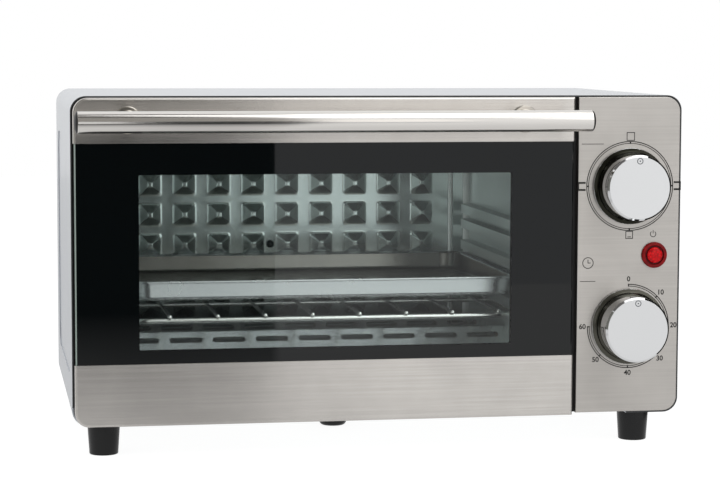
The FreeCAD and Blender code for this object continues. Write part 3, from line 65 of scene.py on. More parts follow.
# An edge that turns by less than FLAT_DEG is dissolved, and one that turns by more than SHARP_DEG is broken.
FLAT_DEG = 0.3
SHARP_DEG = 40.0
CREASE_DEG = 35.0
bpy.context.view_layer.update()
LOG = logging.getLogger("mini_oven")

# A mix node's sockets for colours share their names with those for numbers, so they go by their places.
SHARE, COLOUR_A, COLOUR_B, MIXED = 0, 6, 7, 2


def linear(colour: str) -> tuple[float, float, float, float]:
    """Turn an sRGB hex colour, such as "C0BAB2", into linear red, green and blue and an alpha of one."""
    shares = [int(colour[i:i + 2], 16) / 255 for i in (0, 2, 4)]
    light = [s / 12.92 if s <= 0.04045 else ((s + 0.055) / 1.055) ** 2.4 for s in shares]
    return (*light, 1.0)


def add(tree: Tree, kind: str, settings: dict | None = None, inputs: dict | None = None) -> Node:
    """Add one node with its settings and links.

    Args:
        tree: the shader or geometry tree that the node goes into.
        kind: the node's type, such as "ShaderNodeMix".
        settings: its properties by name.
        inputs: values, sockets or nodes (their first output) by input name or number.

    Returns:
        The new node.
    """
    made = tree.nodes.new(kind)
    for name, value in (settings or {}).items():
        setattr(made, name, value)
    for name, value in (inputs or {}).items():
        if isinstance(value, bpy.types.Node):
            value = value.outputs[0]
        if isinstance(value, bpy.types.NodeSocket):
            tree.links.new(value, made.inputs[name])
        else:
            made.inputs[name].default_value = value
    return made


def blank_material(name: str) -> bpy.types.Material:
    """Make a material with an empty node tree."""
    made = bpy.data.materials.new(name)
    made.use_nodes = True
    made.node_tree.nodes.clear()
    return made


def placed(name: str, data: bpy.types.ID) -> Object:
    """Make an object of a mesh, a lamp or a camera and link it to the scene."""
    made = bpy.data.objects.new(name, data)
    bpy.context.scene.collection.objects.link(made)
    return made


@dataclass(frozen=True)
class Ramp:
    """A change from one level to another between two places, as a map range node makes it."""

    start: float
    end: float
    before: float = 0.0
    after: float = 1.0

    def of(self, value: object) -> dict[str, object]:
        """Return the node's inputs for the socket or node that the ramp follows."""
        return {"Value": value, "From Min": self.start, "From Max": self.end,
                "To Min": self.before, "To Max": self.after}


class Grain(Enum):
    """The way a brushed surface runs, as the stretch of its pattern along X, Y and Z."""

    ACROSS = (0.012, 1.0, 1.0)
    NONE = (1.0, 1.0, 1.0)


@dataclass(frozen=True)
class Haze:
    """Patches that are smoother or rougher: their size, how far they differ, and their finer layers."""

    size_mm: float
    smoother: float
    rougher: float
    detail: float = 2.0


@dataclass(frozen=True)
class Relief:
    """A fine unevenness: its size, its depth, how strongly it shows, and its finer layers."""

    size_mm: float
    depth_mm: float
    strength: float = 0.5
    detail: float = 2.0


@dataclass(frozen=True)
class Finish:
    """A surface finish, made into a material when a piece first needs it."""

    name: str
    colour: str
    roughness: float

    def material(self) -> bpy.types.Material:
        """Return the finish's material, which is made on the first call."""
        known = bpy.data.materials.get(self.name)
        if known:
            return known
        made = blank_material(self.name)
        add(made.node_tree, "ShaderNodeOutputMaterial", None, {"Surface": self.surface(made.node_tree)})
        return made

    def pattern(self, tree: Tree, size_mm: float, detail: float, grain: Grain = Grain.NONE) -> Node:
        """Add a noise pattern of a real size.

        Args:
            tree: the material's tree.
            size_mm: the size of one blotch across the grain.
            detail: how many finer layers it has.
            grain: the direction that the pattern is drawn out in.

        Returns:
            The noise node, whose first output runs from 0 to 1.
        """
        place = add(tree, "ShaderNodeTexCoord")
        stretched = add(tree, "ShaderNodeMapping", None,
                        {"Vector": place.outputs["Object"], "Scale": grain.value})
        return add(tree, "ShaderNodeTexNoise", None,
                   {"Vector": stretched, "Scale": 1 / (size_mm * MM), "Detail": detail})

    def coated(self, tree: Tree, inputs: dict[str, object], haze: Haze, relief: Relief | None = None,
               grain: Grain = Grain.NONE) -> Node:
        """Add a shader whose roughness varies in patches over a fine relief.

        Args:
            tree: the material's tree.
            inputs: the shader's other inputs by name; the finish's own colour stands where none is given.
            haze: how its roughness varies.
            relief: its unevenness, where it has one.
            grain: the direction that both are drawn out in.

        Returns:
            The shader node.
        """
        patches = self.pattern(tree, haze.size_mm, haze.detail, grain)
        spread = Ramp(0, 1, max(0.0, self.roughness - haze.smoother), self.roughness + haze.rougher)
        rough = add(tree, "ShaderNodeMapRange", None, spread.of(patches))
        inputs = {"Base Color": linear(self.colour), "Roughness": rough, **inputs}
        if relief:
            bumps = self.pattern(tree, relief.size_mm, relief.detail, grain)
            inputs["Normal"] = add(tree, "ShaderNodeBump", None,
                                   {"Strength": relief.strength, "Distance": relief.depth_mm * MM,
                                    "Height": bumps})
        return add(tree, "ShaderNodeBsdfPrincipled", None, inputs)

    def surface(self, tree: Tree) -> Node:
        """Add the finish's shader to a tree and return it."""
        raise NotImplementedError


@dataclass(frozen=True)
class BrushedSteel(Finish):
    """Stainless sheet brushed one way: it smears what it reflects across the brush lines, with fine streaks.

    The real brush lines are about 0.1 mm apart. They are drawn coarser so that they show from a step away.
    """

    haze: Haze = Haze(0.9, 0.04, 0.04, 3.0)
    streaks: Relief = Relief(0.9, 0.004, 0.35, 3.0)
    streak_tint: str = "E8E8E8"
    cloud_mm: float = 38.0
    cloud_tint: str = "DCDCDC"
    smear: float = 0.8
    smear_turn: float = 0.25

    def surface(self, tree: Tree) -> Node:
        """Add the finish's shader to a tree and return it."""
        streaks = self.pattern(tree, self.streaks.size_mm, self.streaks.detail, Grain.ACROSS)
        clouds = self.pattern(tree, self.cloud_mm, 3.0)
        tint = linear(self.colour)
        for pattern, dark in ((clouds, self.cloud_tint), (streaks, self.streak_tint)):
            shade = add(tree, "ShaderNodeMix", {"data_type": "RGBA"},
                        {SHARE: pattern, COLOUR_A: linear(dark), COLOUR_B: linear("FFFFFF")})
            darker = add(tree, "ShaderNodeMix", {"data_type": "RGBA", "blend_type": "MULTIPLY"},
                         {SHARE: 1.0, COLOUR_A: tint, COLOUR_B: shade.outputs[MIXED]})
            tint = darker.outputs[MIXED]
        return self.coated(tree, {"Base Color": tint, "Metallic": 1.0, "Anisotropic": self.smear,
                                  "Anisotropic Rotation": self.smear_turn},
                           self.haze, self.streaks, Grain.ACROSS)


@dataclass(frozen=True)
class RolledSheet(Finish):
    """Zinc-coated sheet, cold rolled and pressed: a dull mirror with faint clouds and waves."""

    dark: str
    blotch_mm: float = 9.0
    blotch_detail: float = 4.0
    spread: float = 0.05
    wave_mm: float = 12.0
    wave_depth_mm: float = 0.03
    metallic: float = 1.0

    def surface(self, tree: Tree) -> Node:
        """Add the finish's shader to a tree and return it."""
        tone = add(tree, "ShaderNodeMix", {"data_type": "RGBA"},
                   {SHARE: self.pattern(tree, self.blotch_mm, self.blotch_detail),
                    COLOUR_A: linear(self.dark), COLOUR_B: linear(self.colour)})
        return self.coated(tree, {"Base Color": tone.outputs[MIXED], "Metallic": self.metallic},
                           Haze(self.blotch_mm, self.spread, self.spread, self.blotch_detail),
                           Relief(self.wave_mm, self.wave_depth_mm, detail=0.0))


@dataclass(frozen=True)
class PlatedMetal(Finish):
    """Nickel, zinc or chromium plating: a bright even mirror, with a breath of haze where it was handled."""

    haze: Haze = Haze(14.0, 0.0, 0.03, 4.0)

    def surface(self, tree: Tree) -> Node:
        """Add the finish's shader to a tree and return it."""
        return self.coated(tree, {"Metallic": 1.0}, self.haze)


@dataclass(frozen=True)
class CoatedSheet(Finish):
    """Sheet steel under a stoved silver coating: pale, faintly metallic, with a light orange peel."""

    haze: Haze = Haze(25.0, 0.03, 0.03)
    peel: Relief = Relief(1.6, 0.03, 0.3)
    coat: float = 0.3
    coat_roughness: float = 0.12
    metallic: float = 0.5

    def surface(self, tree: Tree) -> Node:
        """Add the finish's shader to a tree and return it."""
        return self.coated(tree, {"Metallic": self.metallic, "Coat Weight": self.coat,
                                  "Coat Roughness": self.coat_roughness}, self.haze, self.peel)


@dataclass(frozen=True)
class MouldedPlastic(Finish):
    """Injection-moulded plastic or rubber with the fine matt grain of a spark-eroded mould."""

    haze: Haze = Haze(8.0, 0.05, 0.07)
    grit_mm: float = 0.5
    grit_depth_mm: float = 0.015
    ior: float = 1.5

    def surface(self, tree: Tree) -> Node:
        """Add the finish's shader to a tree and return it."""
        return self.coated(tree, {"IOR": self.ior}, self.haze,
                           Relief(self.grit_mm, self.grit_depth_mm, detail=1.0))


@dataclass(frozen=True)
class ScreenInk(Finish):
    """Screen-printed ink: a thin even film with a soft gloss, or none where it is fired onto the far side of
    glass, which has no air behind it to mirror anything."""

    haze: Haze = Haze(1.2, 0.05, 0.03)
    gloss: float = 0.5

    def surface(self, tree: Tree) -> Node:
        """Add the finish's shader to a tree and return it."""
        return self.coated(tree, {"Specular IOR Level": self.gloss}, self.haze)


@dataclass(frozen=True)
class HeatStained(Finish):
    """Heater sheath of stainless tube, oxidised brown and straw in patches from its first firings."""

    stain: str = "5A4C42"
    stain_mm: float = 22.0

    def surface(self, tree: Tree) -> Node:
        """Add the finish's shader to a tree and return it."""
        tone = add(tree, "ShaderNodeMix", {"data_type": "RGBA"},
                   {SHARE: self.pattern(tree, self.stain_mm, 5.0), COLOUR_A: linear(self.stain),
                    COLOUR_B: linear(self.colour)})
        return add(tree, "ShaderNodeBsdfPrincipled", None,
                   {"Base Color": tone.outputs[MIXED], "Metallic": 1.0, "Roughness": self.roughness})


@dataclass(frozen=True)
class ClearPane(Finish):
    """Flat tempered float glass, whose outward faces mirror a few hundredths and let the rest straight
    through with a faint tint."""

    ior: float = 1.5

    def surface(self, tree: Tree) -> Node:
        """Add the finish's shader to a tree and return it."""
        through = add(tree, "ShaderNodeBsdfTransparent", None, {"Color": linear(self.colour)})
        gloss = add(tree, "ShaderNodeBsdfGlossy", None, {"Roughness": self.roughness})
        mirrored = add(tree, "ShaderNodeFresnel", None, {"IOR": self.ior})
        side = add(tree, "ShaderNodeNewGeometry")
        outward = add(tree, "ShaderNodeMath", {"operation": "SUBTRACT"},
                      {0: 1.0, 1: side.outputs["Backfacing"]})
        share = add(tree, "ShaderNodeMath", {"operation": "MULTIPLY"}, {0: mirrored, 1: outward})
        return add(tree, "ShaderNodeMixShader", None, {0: share, 1: through, 2: gloss})


@dataclass(frozen=True)
class SignalLens(Finish):
    """Clear-dyed polycarbonate with a pebbled inner face: a deep wet red that sparkles in small cells."""

    deep: str = "8E0A12"
    pebble_mm: float = 1.5
    pebble_depth_mm: float = 0.15
    gloss: float = 0.14
    coat: float = 0.1
    coat_roughness: float = 0.04

    def surface(self, tree: Tree) -> Node:
        """Add the finish's shader to a tree and return it."""
        place = add(tree, "ShaderNodeTexCoord")
        pebbles = add(tree, "ShaderNodeTexVoronoi", None,
                      {"Vector": place.outputs["Object"], "Scale": 1 / (self.pebble_mm * MM)})
        from_middle = pebbles.outputs["Distance"]
        relief = add(tree, "ShaderNodeBump", None,
                     {"Strength": 0.5, "Distance": self.pebble_depth_mm * MM, "Height": from_middle})
        tone = add(tree, "ShaderNodeMix", {"data_type": "RGBA"},
                   {SHARE: from_middle, COLOUR_A: linear(self.colour), COLOUR_B: linear(self.deep)})
        return add(tree, "ShaderNodeBsdfPrincipled", None,
                   {"Base Color": tone.outputs[MIXED], "Specular IOR Level": self.gloss,
                    "Roughness": self.roughness, "Normal": relief, "Coat Weight": self.coat,
                    "Coat Roughness": self.coat_roughness})


BRUSHED = BrushedSteel("brushed stainless steel", "D2CEC9", 0.33)
RAIL_STEEL = BrushedSteel("bright brushed stainless steel", "E6E2DD", 0.25)
CASING = CoatedSheet("silver stoved coating", "B8BDC4", 0.34)
# Painted shade: a dark primer colour inside the casing and on its front edge, standing in for the shade in
# the gap round the door and behind the slots.
CASING_PAINTED_SHADE = CoatedSheet("painted shade inside the casing and on its front edge", "2C2E30", 0.55, metallic=0.0)
GALVANISED = RolledSheet("zinc-coated sheet", "DCE3E2", 0.26, dark="C8D0CF")
FIELD_SHEET = RolledSheet("pressed zinc-coated sheet", "D6DEDD", 0.17, dark="CBD3D2",
                          wave_depth_mm=0.015, metallic=0.9)
# The side walls' sheet is smoother, and its colour is raised near white as painted light for the light that
# the walls catch.
SIDE_SHEET_PAINTED_LIGHT = RolledSheet("smooth zinc-coated sheet lightened as painted light", "F2F7F6", 0.38, dark="E8EEED",
                         wave_depth_mm=0.008, metallic=0.75)
GUARD_SHEET = RolledSheet("bright zinc-coated sheet", "FCFFFE", 0.2, dark="F4F8F7", metallic=0.8)
# A painted highlight: a near-white, nearly matt finish on the folds beside the back wall's field.
PAINTED_FOLD_HIGHLIGHT = RolledSheet("painted highlight on folds of zinc-coated sheet", "FDFFFE", 0.5, dark="F2F6F5", metallic=0.2)
BLACKENED = MouldedPlastic("black stoved steel", "161717", 0.45)
PANE = ClearPane("clear tempered glass", "FAFDFC", 0.0)
# Painted light: the pale ground edge is given only to the pane's edge faces that point left.
PANE_EDGE_PAINTED_LIGHT = MouldedPlastic("ground glass edge with painted light", "8E9C95", 0.35, grit_depth_mm=0.004)
PRINTED_GLASS = ScreenInk("glass over black print", "050809", 0.0, gloss=0.4)
BORDER_INK = ScreenInk("black ceramic border ink", "060707", 0.6, gloss=0.0)
PANEL_INK = ScreenInk("black panel ink", "1A1917", 0.5, gloss=0.3)
INDEX_INK = ScreenInk("grey index ink", "5C6064", 0.4)
SILICONE = MouldedPlastic("grey silicone rubber", "55585A", 0.6)
TUBE_STEEL = PlatedMetal("polished stainless tube", "DCD9D5", 0.13)
BLACK_PLASTIC = MouldedPlastic("black moulded plastic", "0A0B0C", 0.46)
FOOT_PLASTIC = MouldedPlastic("smooth black moulded plastic", "08090A", 0.27, grit_depth_mm=0.006, ior=1.42)
POST_CHROME = PlatedMetal("nickel-plated casting", "BDB8B0", 0.13)
ZINC_PLATE = PlatedMetal("zinc-plated steel", "B9BBB8", 0.30)
BLACK_ZINC = PlatedMetal("black zinc-plated steel", "3E4244", 0.24)
HEATER = HeatStained("heater sheath", "8A8681", 0.38)
STEATITE = MouldedPlastic("unglazed steatite", "E3D3C6", 0.7)
CHROMED_WIRE = PlatedMetal("chromium-plated wire", "FAFAF8", 0.24)
TRAY_SHEET = RolledSheet("pressed tray sheet", "DCDDDF", 0.26, dark="D4D5D8", blotch_mm=16.0, metallic=0.85)
# Painted shade: a darker copy of the tray sheet for the walls inside the tray.
TRAY_INSIDE_PAINTED_SHADE = RolledSheet("inner walls of the tray darkened as painted shade", "918F8D", 0.2, dark="85827E", blotch_mm=16.0,
                          metallic=0.8)
# The tray's floor is darker and warmer than its outer sheet.
TRAY_FLOOR = RolledSheet("darker floor of the tray", "CBC8C5", 0.24, dark="BAB6B1", blotch_mm=16.0,
                         metallic=0.8)
KNOB_CHROME = PlatedMetal("chromium-plated plastic", "DCDDDE", 0.05)
# The two cove finishes are painted reflection: darker chromium that stands in for the dark surround each
# knob's cove mirrors.
KNOB_COVE_PAINTED_DARK_REFLECTION = PlatedMetal("chromium with a painted dark reflection in the cove", "2A2A24", 0.14)
TIMER_COVE_PAINTED_GREY_REFLECTION = PlatedMetal("chromium with a painted grey reflection in the cove", "52514A", 0.2)
NYLON = MouldedPlastic("ivory switch moulding", "D9D4C4", 0.5)
RED_LENS = SignalLens("red polycarbonate lens", "EC0C14", 0.16)
RED_FLANGE = SignalLens("red polycarbonate flange", "960408", 0.1, deep="5E0205", pebble_mm=4.0)
# Painted shade: a darker red for the faces down in the lens's groove.
RED_GROOVE_PAINTED_SHADE = SignalLens("red polycarbonate with painted shade in the groove", "6A060A", 0.2, deep="480306")
NEON = MouldedPlastic("neon lamp glass", "E8B59A", 0.1)
WIRE_SLEEVE = MouldedPlastic("silicone wire sleeve", "C9C6BE", 0.55)

FINISH_OF_SLOT = {
    "satin_steel": BRUSHED, "casing_paint": CASING, "galvanised_sheet": GALVANISED,
    "blackened_steel": BLACKENED, "door_pane": PANE, "silicone": SILICONE, "handle_steel": TUBE_STEEL,
    "black_plastic": BLACK_PLASTIC, "post_metal": POST_CHROME, "plated_fixings": ZINC_PLATE,
    "heater_sheath": HEATER, "steatite": STEATITE, "chromed_wire": CHROMED_WIRE, "tray_sheet": TRAY_SHEET,
    "knob_finish": KNOB_CHROME, "switch_moulding": NYLON, "red_lens": RED_LENS, "neon_glass": NEON,
    "wire_sleeve": WIRE_SLEEVE,
}


def piece(name: str, mesh: Mesh, body: str, slot: str, *finishes: Finish,
          stands_for: tuple[str, ...] = ()) -> None:
    """Make an object of a finished mesh and fasten it to the frame.

    Args:
        name: the piece's name.
        mesh: its mesh, with its place in its points.
        body: the body that it moves with.
        slot: the record's material slot that its finish stands for; it is not used.
        finishes: the finishes of its material slots, in order.
        stands_for: the construction nodes that it is shown in place of.
    """
    mesh.name = name
    made = placed(name, mesh)
    if mesh.materials:
        mesh.materials.clear()
    for finish in finishes:
        mesh.materials.append(finish.material())
    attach(made, body)
    if stands_for:
        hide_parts(*stands_for)
    LOG.info("%s: %d faces", name, len(mesh.polygons))


def plain(bm: EditMesh) -> Mesh:
    """Turn an edit mesh into a plain one as it is, and free it."""
    made = bpy.data.meshes.new("mesh")
    bm.to_mesh(made)
    bm.free()
    return made


def mesh_of(bm: EditMesh, crease_deg: float = CREASE_DEG) -> Mesh:
    """Turn an edit mesh into a plain one with merged points and outward faces, and free it."""
    bmesh.ops.remove_doubles(bm, verts=bm.verts, dist=MERGE_MM * MM)
    bmesh.ops.recalc_face_normals(bm, faces=bm.faces)
    return shaded(plain(bm), crease_deg)


def shaded(mesh: Mesh, crease_deg: float = CREASE_DEG) -> Mesh:
    """Shade a mesh smooth between the edges that turn by more than an angle, and return it."""
    mesh.shade_smooth()
    mesh.set_sharp_from_angle(angle=math.radians(crease_deg))
    return mesh


def baked(holder: Object) -> Mesh:
    """Return an unlinked object's shape, with its modifiers run, as a plain mesh; the object is removed."""
    bpy.context.scene.collection.objects.link(holder)
    made = bpy.data.meshes.new_from_object(holder.evaluated_get(bpy.context.evaluated_depsgraph_get()))
    bpy.data.objects.remove(holder)
    return made


def finished(mesh: Mesh, kind: str, settings: dict[str, object]) -> Mesh:
    """Run one modifier on a mesh.

    Args:
        mesh: the mesh that it works on.
        kind: the modifier's type, such as "SOLIDIFY".
        settings: its properties by name.

    Returns:
        The new mesh.
    """
    holder = bpy.data.objects.new("holder", mesh)
    work = holder.modifiers.new("work", kind)
    for name, value in settings.items():
        setattr(work, name, value)
    return baked(holder)


def weighted(mesh: Mesh) -> Mesh:
    """Return a copy of a mesh whose shading follows its large faces."""
    return finished(mesh, "WEIGHTED_NORMAL", {"keep_sharp": True})


def thickened(mesh: Mesh, wall_mm: float) -> Mesh:
    """Give an open sheet that faces -Y its thickness, towards the back, and return the closed mesh."""
    bm = bmesh.new()
    bm.from_mesh(mesh)
    bmesh.ops.recalc_face_normals(bm, faces=bm.faces)
    if sum(face.normal.y * face.calc_area() for face in bm.faces) >= 0:
        bmesh.ops.reverse_faces(bm, faces=bm.faces)
    walled = finished(plain(bm), "SOLIDIFY", {"thickness": wall_mm * MM, "offset": -1})
    return weighted(shaded(walled, 30))


def rounded_path(corners: list[Place], steps: int = 5, closed: bool = False) -> list[Point]:
    """Lay points along an outline whose corners are rounded.

    Args:
        corners: the place and the radius of each corner.
        steps: how many pieces each arc has.
        closed: whether the last corner joins the first.

    Returns:
        The outline's points in order.
    """
    points = []
    for i, (u, v, radius) in enumerate(corners):
        here = Vector((u, v))
        if radius == 0 or (not closed and i in (0, len(corners) - 1)):
            points.append((u, v))
            continue
        before = (Vector(corners[i - 1][:2]) - here).normalized()
        after = (Vector(corners[(i + 1) % len(corners)][:2]) - here).normalized()
        half = before.angle(after) / 2
        centre = here + (before + after).normalized() * (radius / math.sin(half))
        start = here + before * (radius / math.tan(half)) - centre
        end = here + after * (radius / math.tan(half)) - centre
        sweep = math.pi - 2 * half
        for k in range(steps + 1):
            share = k / steps
            spoke = start * math.sin((1 - share) * sweep) + end * math.sin(share * sweep)
            points.append(tuple(centre + spoke / math.sin(sweep)))
    return points


def rectangle(u0: float, u1: float, v0: float, v1: float, corner: float = 0.0,
              steps: int = 5) -> list[Point]:
    """Return a rectangle's outline, anticlockwise from its lower left corner, with its corners rounded."""
    places = ((u0, v0), (u1, v0), (u1, v1), (u0, v1))
    return rounded_path([(u, v, corner) for u, v in places], steps, closed=True)


def dome(radius: float, base: float, rise: float, steps: int) -> list[Point]:
    """Return the profile of a dome that starts above its rim and ends in its pole."""
    turns = [math.pi / 2 * i / steps for i in range(1, steps)]
    return [(radius * math.cos(a), base + rise * math.sin(a)) for a in turns] + [(0, base + rise)]


def upright(outline: list[Point], y: float) -> list[Vector]:
    """Stand an outline in millimetres up in the plane at y, in millimetres too."""
    return [Vector((x * MM, y * MM, z * MM)) for x, z in outline]


def level(outline: list[Point], z: float) -> list[Vector]:
    """Lay an outline in millimetres down in the plane at z, in millimetres too."""
    return [Vector((x * MM, y * MM, z * MM)) for x, y in outline]


class Ends(Enum):
    """The ends of a stack of loops that get a face. JOINED has none, as its last loop meets its first."""

    BOTH = (0, -1)
    FIRST = (0,)
    LAST = (-1,)
    OPEN = ()
    JOINED = None


def stack(bm: EditMesh, loops: list[list[Vector]], ends: Ends = Ends.BOTH) -> None:
    """Join loops of points with faces, one loop after another.

    Args:
        bm: the edit mesh that they go into.
        loops: the loops; a loop of one point closes the shape to a pole.
        ends: which ends are closed.
    """
    rows = [[bm.verts.new(point) for point in loop] for loop in loops]
    for a, b in zip(rows, rows[1:] + rows[:1] if ends is Ends.JOINED else rows[1:]):
        count = max(len(a), len(b))
        for i in range(count):
            j = (i + 1) % count
            corners = (a[i % len(a)], a[j % len(a)], b[j % len(b)], b[i % len(b)])
            bm.faces.new(dict.fromkeys(corners))
    for end in ends.value or ():
        if len(rows[end]) > 2:
            bm.faces.new(rows[end])


def turned(bm: EditMesh, profile: list[Point], place: Matrix, steps: int = 64,
           ends: Ends = Ends.BOTH) -> None:
    """Add a turned shape.

    Args:
        bm: the edit mesh that it goes into.
        profile: radius and height along the axis, in millimetres; radius 0 closes a pole.
        place: where the axis starts and how it is turned, in metres.
        steps: how many sides it has.
        ends: which ends are closed, or JOINED where the profile closes on itself, as a tube's does.
    """
    spokes = [(math.cos(2 * math.pi * i / steps), math.sin(2 * math.pi * i / steps)) for i in range(steps)]
    loops = []
    for radius, height in profile:
        sides = spokes if radius else spokes[:1]
        loops.append([place @ Vector((radius * c * MM, radius * s * MM, height * MM)) for c, s in sides])
    stack(bm, loops, ends)


def swept(bm: EditMesh, path: list[Vector], radius: float, sides: int = 16) -> None:
    """Add a closed ring of round wire along a level path.

    Args:
        bm: the edit mesh that it goes into.
        path: the points of its centre line, in metres.
        radius: the wire's radius, in metres.
        sides: how many sides the wire has.
    """
    loops = []
    for i, point in enumerate(path):
        along = (path[(i + 1) % len(path)] - path[i - 1]).normalized()
        across = Vector((along.y, -along.x, 0))
        loops.append([point + radius * (across * math.cos(turn) + Vector((0, 0, math.sin(turn))))
                      for turn in (2 * math.pi * k / sides for k in range(sides))])
    stack(bm, loops, Ends.JOINED)


def facing(direction: Place, x: float, y: float, z: float) -> Matrix:
    """Return a place in millimetres whose own Z axis points in a direction."""
    turn = Vector(direction).to_track_quat("Z", "Y").to_matrix().to_4x4()
    return Matrix.Translation((x * MM, y * MM, z * MM)) @ turn


def opened(node: str) -> EditMesh:
    """Open a construction node's mesh for editing, with merged points."""
    bm = bmesh.new()
    bm.from_mesh(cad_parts[node].data)
    bmesh.ops.remove_doubles(bm, verts=bm.verts, dist=MERGE_MM * MM)
    return bm


def softened(node: str, fine_mm: float, round_mm: float = 0.0,
             rim: Callable[[Vector], bool] | None = None) -> Mesh:
    """Copy a construction node's mesh and break its sharp edges.

    Args:
        node: the node's name.
        fine_mm: how far the sharp edges are broken.
        round_mm: the radius of the edges that the rim test picks.
        rim: takes the middle of an edge in millimetres and says whether it is rounded more.

    Returns:
        The new mesh, which has no material yet.
    """
    bm = opened(node)
    bmesh.ops.dissolve_limit(bm, angle_limit=math.radians(FLAT_DEG), verts=bm.verts, edges=bm.edges)
    for size, segments, wanted in ((round_mm, 4, True), (fine_mm, 2, False)):
        sharp = [e for e in bm.edges if e.is_manifold and e.calc_face_angle() > math.radians(SHARP_DEG)]
        if rim:
            sharp = [e for e in sharp if rim((e.verts[0].co + e.verts[1].co) / 2 / MM) == wanted]
        if size and sharp:
            bmesh.ops.bevel(bm, geom=sharp, offset=size * MM, segments=segments, profile=0.5,
                            affect="EDGES", clamp_overlap=True)
    made = weighted(mesh_of(bm))
    made.materials.clear()
    return made


def grown(tree: Tree, sizes: dict[str, object], start: Mesh | None = None) -> Mesh:
    """Run a Geometry Nodes tree and keep its result as a plain mesh.

    Args:
        tree: the tree.
        sizes: values by the names of the tree's inputs.
        start: the mesh that the tree works on, where it needs one.

    Returns:
        The plain mesh.
    """
    seed = bpy.data.objects.new("seed", start or bpy.data.meshes.new("seed"))
    grow = seed.modifiers.new("grow", "NODES")
    grow.node_group = tree
    for item in tree.interface.items_tree:
        if item.item_type == "SOCKET" and item.in_out == "INPUT" and item.name in sizes:
            grow[item.identifier] = sizes[item.name]
    return shaded(baked(seed))


def started_tree(name: str, inputs: dict[str, str]) -> tuple[Tree, Node]:
    """Start a Geometry Nodes tree that works on a shape and ends in a material.

    Args:
        name: the tree's name.
        inputs: the kinds of its other inputs by name, such as {"Count": "Int"}.

    Returns:
        The tree and its input node.
    """
    tree = bpy.data.node_groups.new(name, "GeometryNodeTree")
    for label, kind in {"Shape": "Geometry", **inputs, "Material": "Material"}.items():
        tree.interface.new_socket(label, in_out="INPUT", socket_type="NodeSocket" + kind)
    tree.interface.new_socket("Shape", in_out="OUTPUT", socket_type="NodeSocketGeometry")
    return tree, tree.nodes.new("NodeGroupInput")


def ended_tree(tree: Tree, given: Node, shapes: Node) -> Tree:
    """Close a tree with Realize Instances, merged points and Set Material.

    Args:
        tree: the tree.
        given: its input node.
        shapes: the node whose first output is the result.

    Returns:
        The same tree.
    """
    real = add(tree, "GeometryNodeRealizeInstances", None, {0: shapes})
    merged = add(tree, "GeometryNodeMergeByDistance", None,
                 {"Geometry": real, "Distance": 2 * MERGE_MM * MM})
    coated = add(tree, "GeometryNodeSetMaterial", None,
                 {"Geometry": merged, "Material": given.outputs["Material"]})
    add(tree, "NodeGroupOutput", None, {0: coated})
    return tree


def repeated_tree() -> Tree:
    """Make the tree that sets columns and rows of one tile into the surround or frame that it is given."""
    tree, given = started_tree("columns and rows", {
        "Tile": "Object", "Columns": "Int", "Rows": "Int", "Column Step": "Vector", "Row Step": "Vector"})
    tile = add(tree, "GeometryNodeObjectInfo", None, {"Object": given.outputs["Tile"]})
    across = add(tree, "GeometryNodeMeshLine", None,
                 {"Count": given.outputs["Columns"], "Offset": given.outputs["Column Step"]})
    along = add(tree, "GeometryNodeMeshLine", None,
                {"Count": given.outputs["Rows"], "Offset": given.outputs["Row Step"]})
    grid = add(tree, "GeometryNodeInstanceOnPoints", None, {"Points": across, "Instance": along})
    places = add(tree, "GeometryNodeRealizeInstances", None, {0: grid})
    tiles = add(tree, "GeometryNodeInstanceOnPoints", None,
                {"Points": places, "Instance": tile.outputs["Geometry"]})
    whole = add(tree, "GeometryNodeJoinGeometry", None, {0: given.outputs["Shape"]})
    tree.links.new(tiles.outputs[0], whole.inputs[0])
    return ended_tree(tree, given, whole)


def on_places_tree() -> Tree:
    """Make the tree that sets one shape on each point of the mesh it is given."""
    tree, given = started_tree("on each place", {"Fixing": "Object"})
    fixing = add(tree, "GeometryNodeObjectInfo", None, {"Object": given.outputs["Fixing"]})
    seated = add(tree, "GeometryNodeInstanceOnPoints", None,
                 {"Points": given.outputs["Shape"], "Instance": fixing.outputs["Geometry"]})
    return ended_tree(tree, given, seated)


def tick_ring_tree() -> Tree:
    """Make the tree that sets ticks round a dial, each pointing at its middle, in the dial's own plane."""
    tree, given = started_tree("ring of ticks", {
        "Count": "Int", "Radius": "Float", "Turn": "Float", "Tick": "Vector"})
    line = add(tree, "GeometryNodeMeshLine", None, {"Count": given.outputs["Count"], "Offset": (0, 0, 0)})
    order = add(tree, "GeometryNodeInputIndex")
    angle = add(tree, "ShaderNodeMath", {"operation": "MULTIPLY"}, {0: order, 1: given.outputs["Turn"]})
    sine = add(tree, "ShaderNodeMath", {"operation": "SINE"}, {0: angle})
    cosine = add(tree, "ShaderNodeMath", {"operation": "COSINE"}, {0: angle})
    spoke = add(tree, "ShaderNodeCombineXYZ", None, {"X": sine, "Z": cosine})
    place = add(tree, "ShaderNodeVectorMath", {"operation": "SCALE"},
                {0: spoke, "Scale": given.outputs["Radius"]})
    spots = add(tree, "GeometryNodeSetPosition", None, {"Geometry": line, "Position": place})
    tick = add(tree, "GeometryNodeMeshCube", None, {"Size": given.outputs["Tick"]})
    turn = add(tree, "ShaderNodeCombineXYZ", None, {"Y": angle})
    ticks = add(tree, "GeometryNodeInstanceOnPoints", None,
                {"Points": spots, "Instance": tick, "Rotation": turn})
    return ended_tree(tree, given, ticks)


def shape_object(name: str, mesh: Mesh) -> Object:
    """Wrap a mesh in an unlinked object, for a tree's or a modifier's object input."""
    return bpy.data.objects.new(name, mesh)


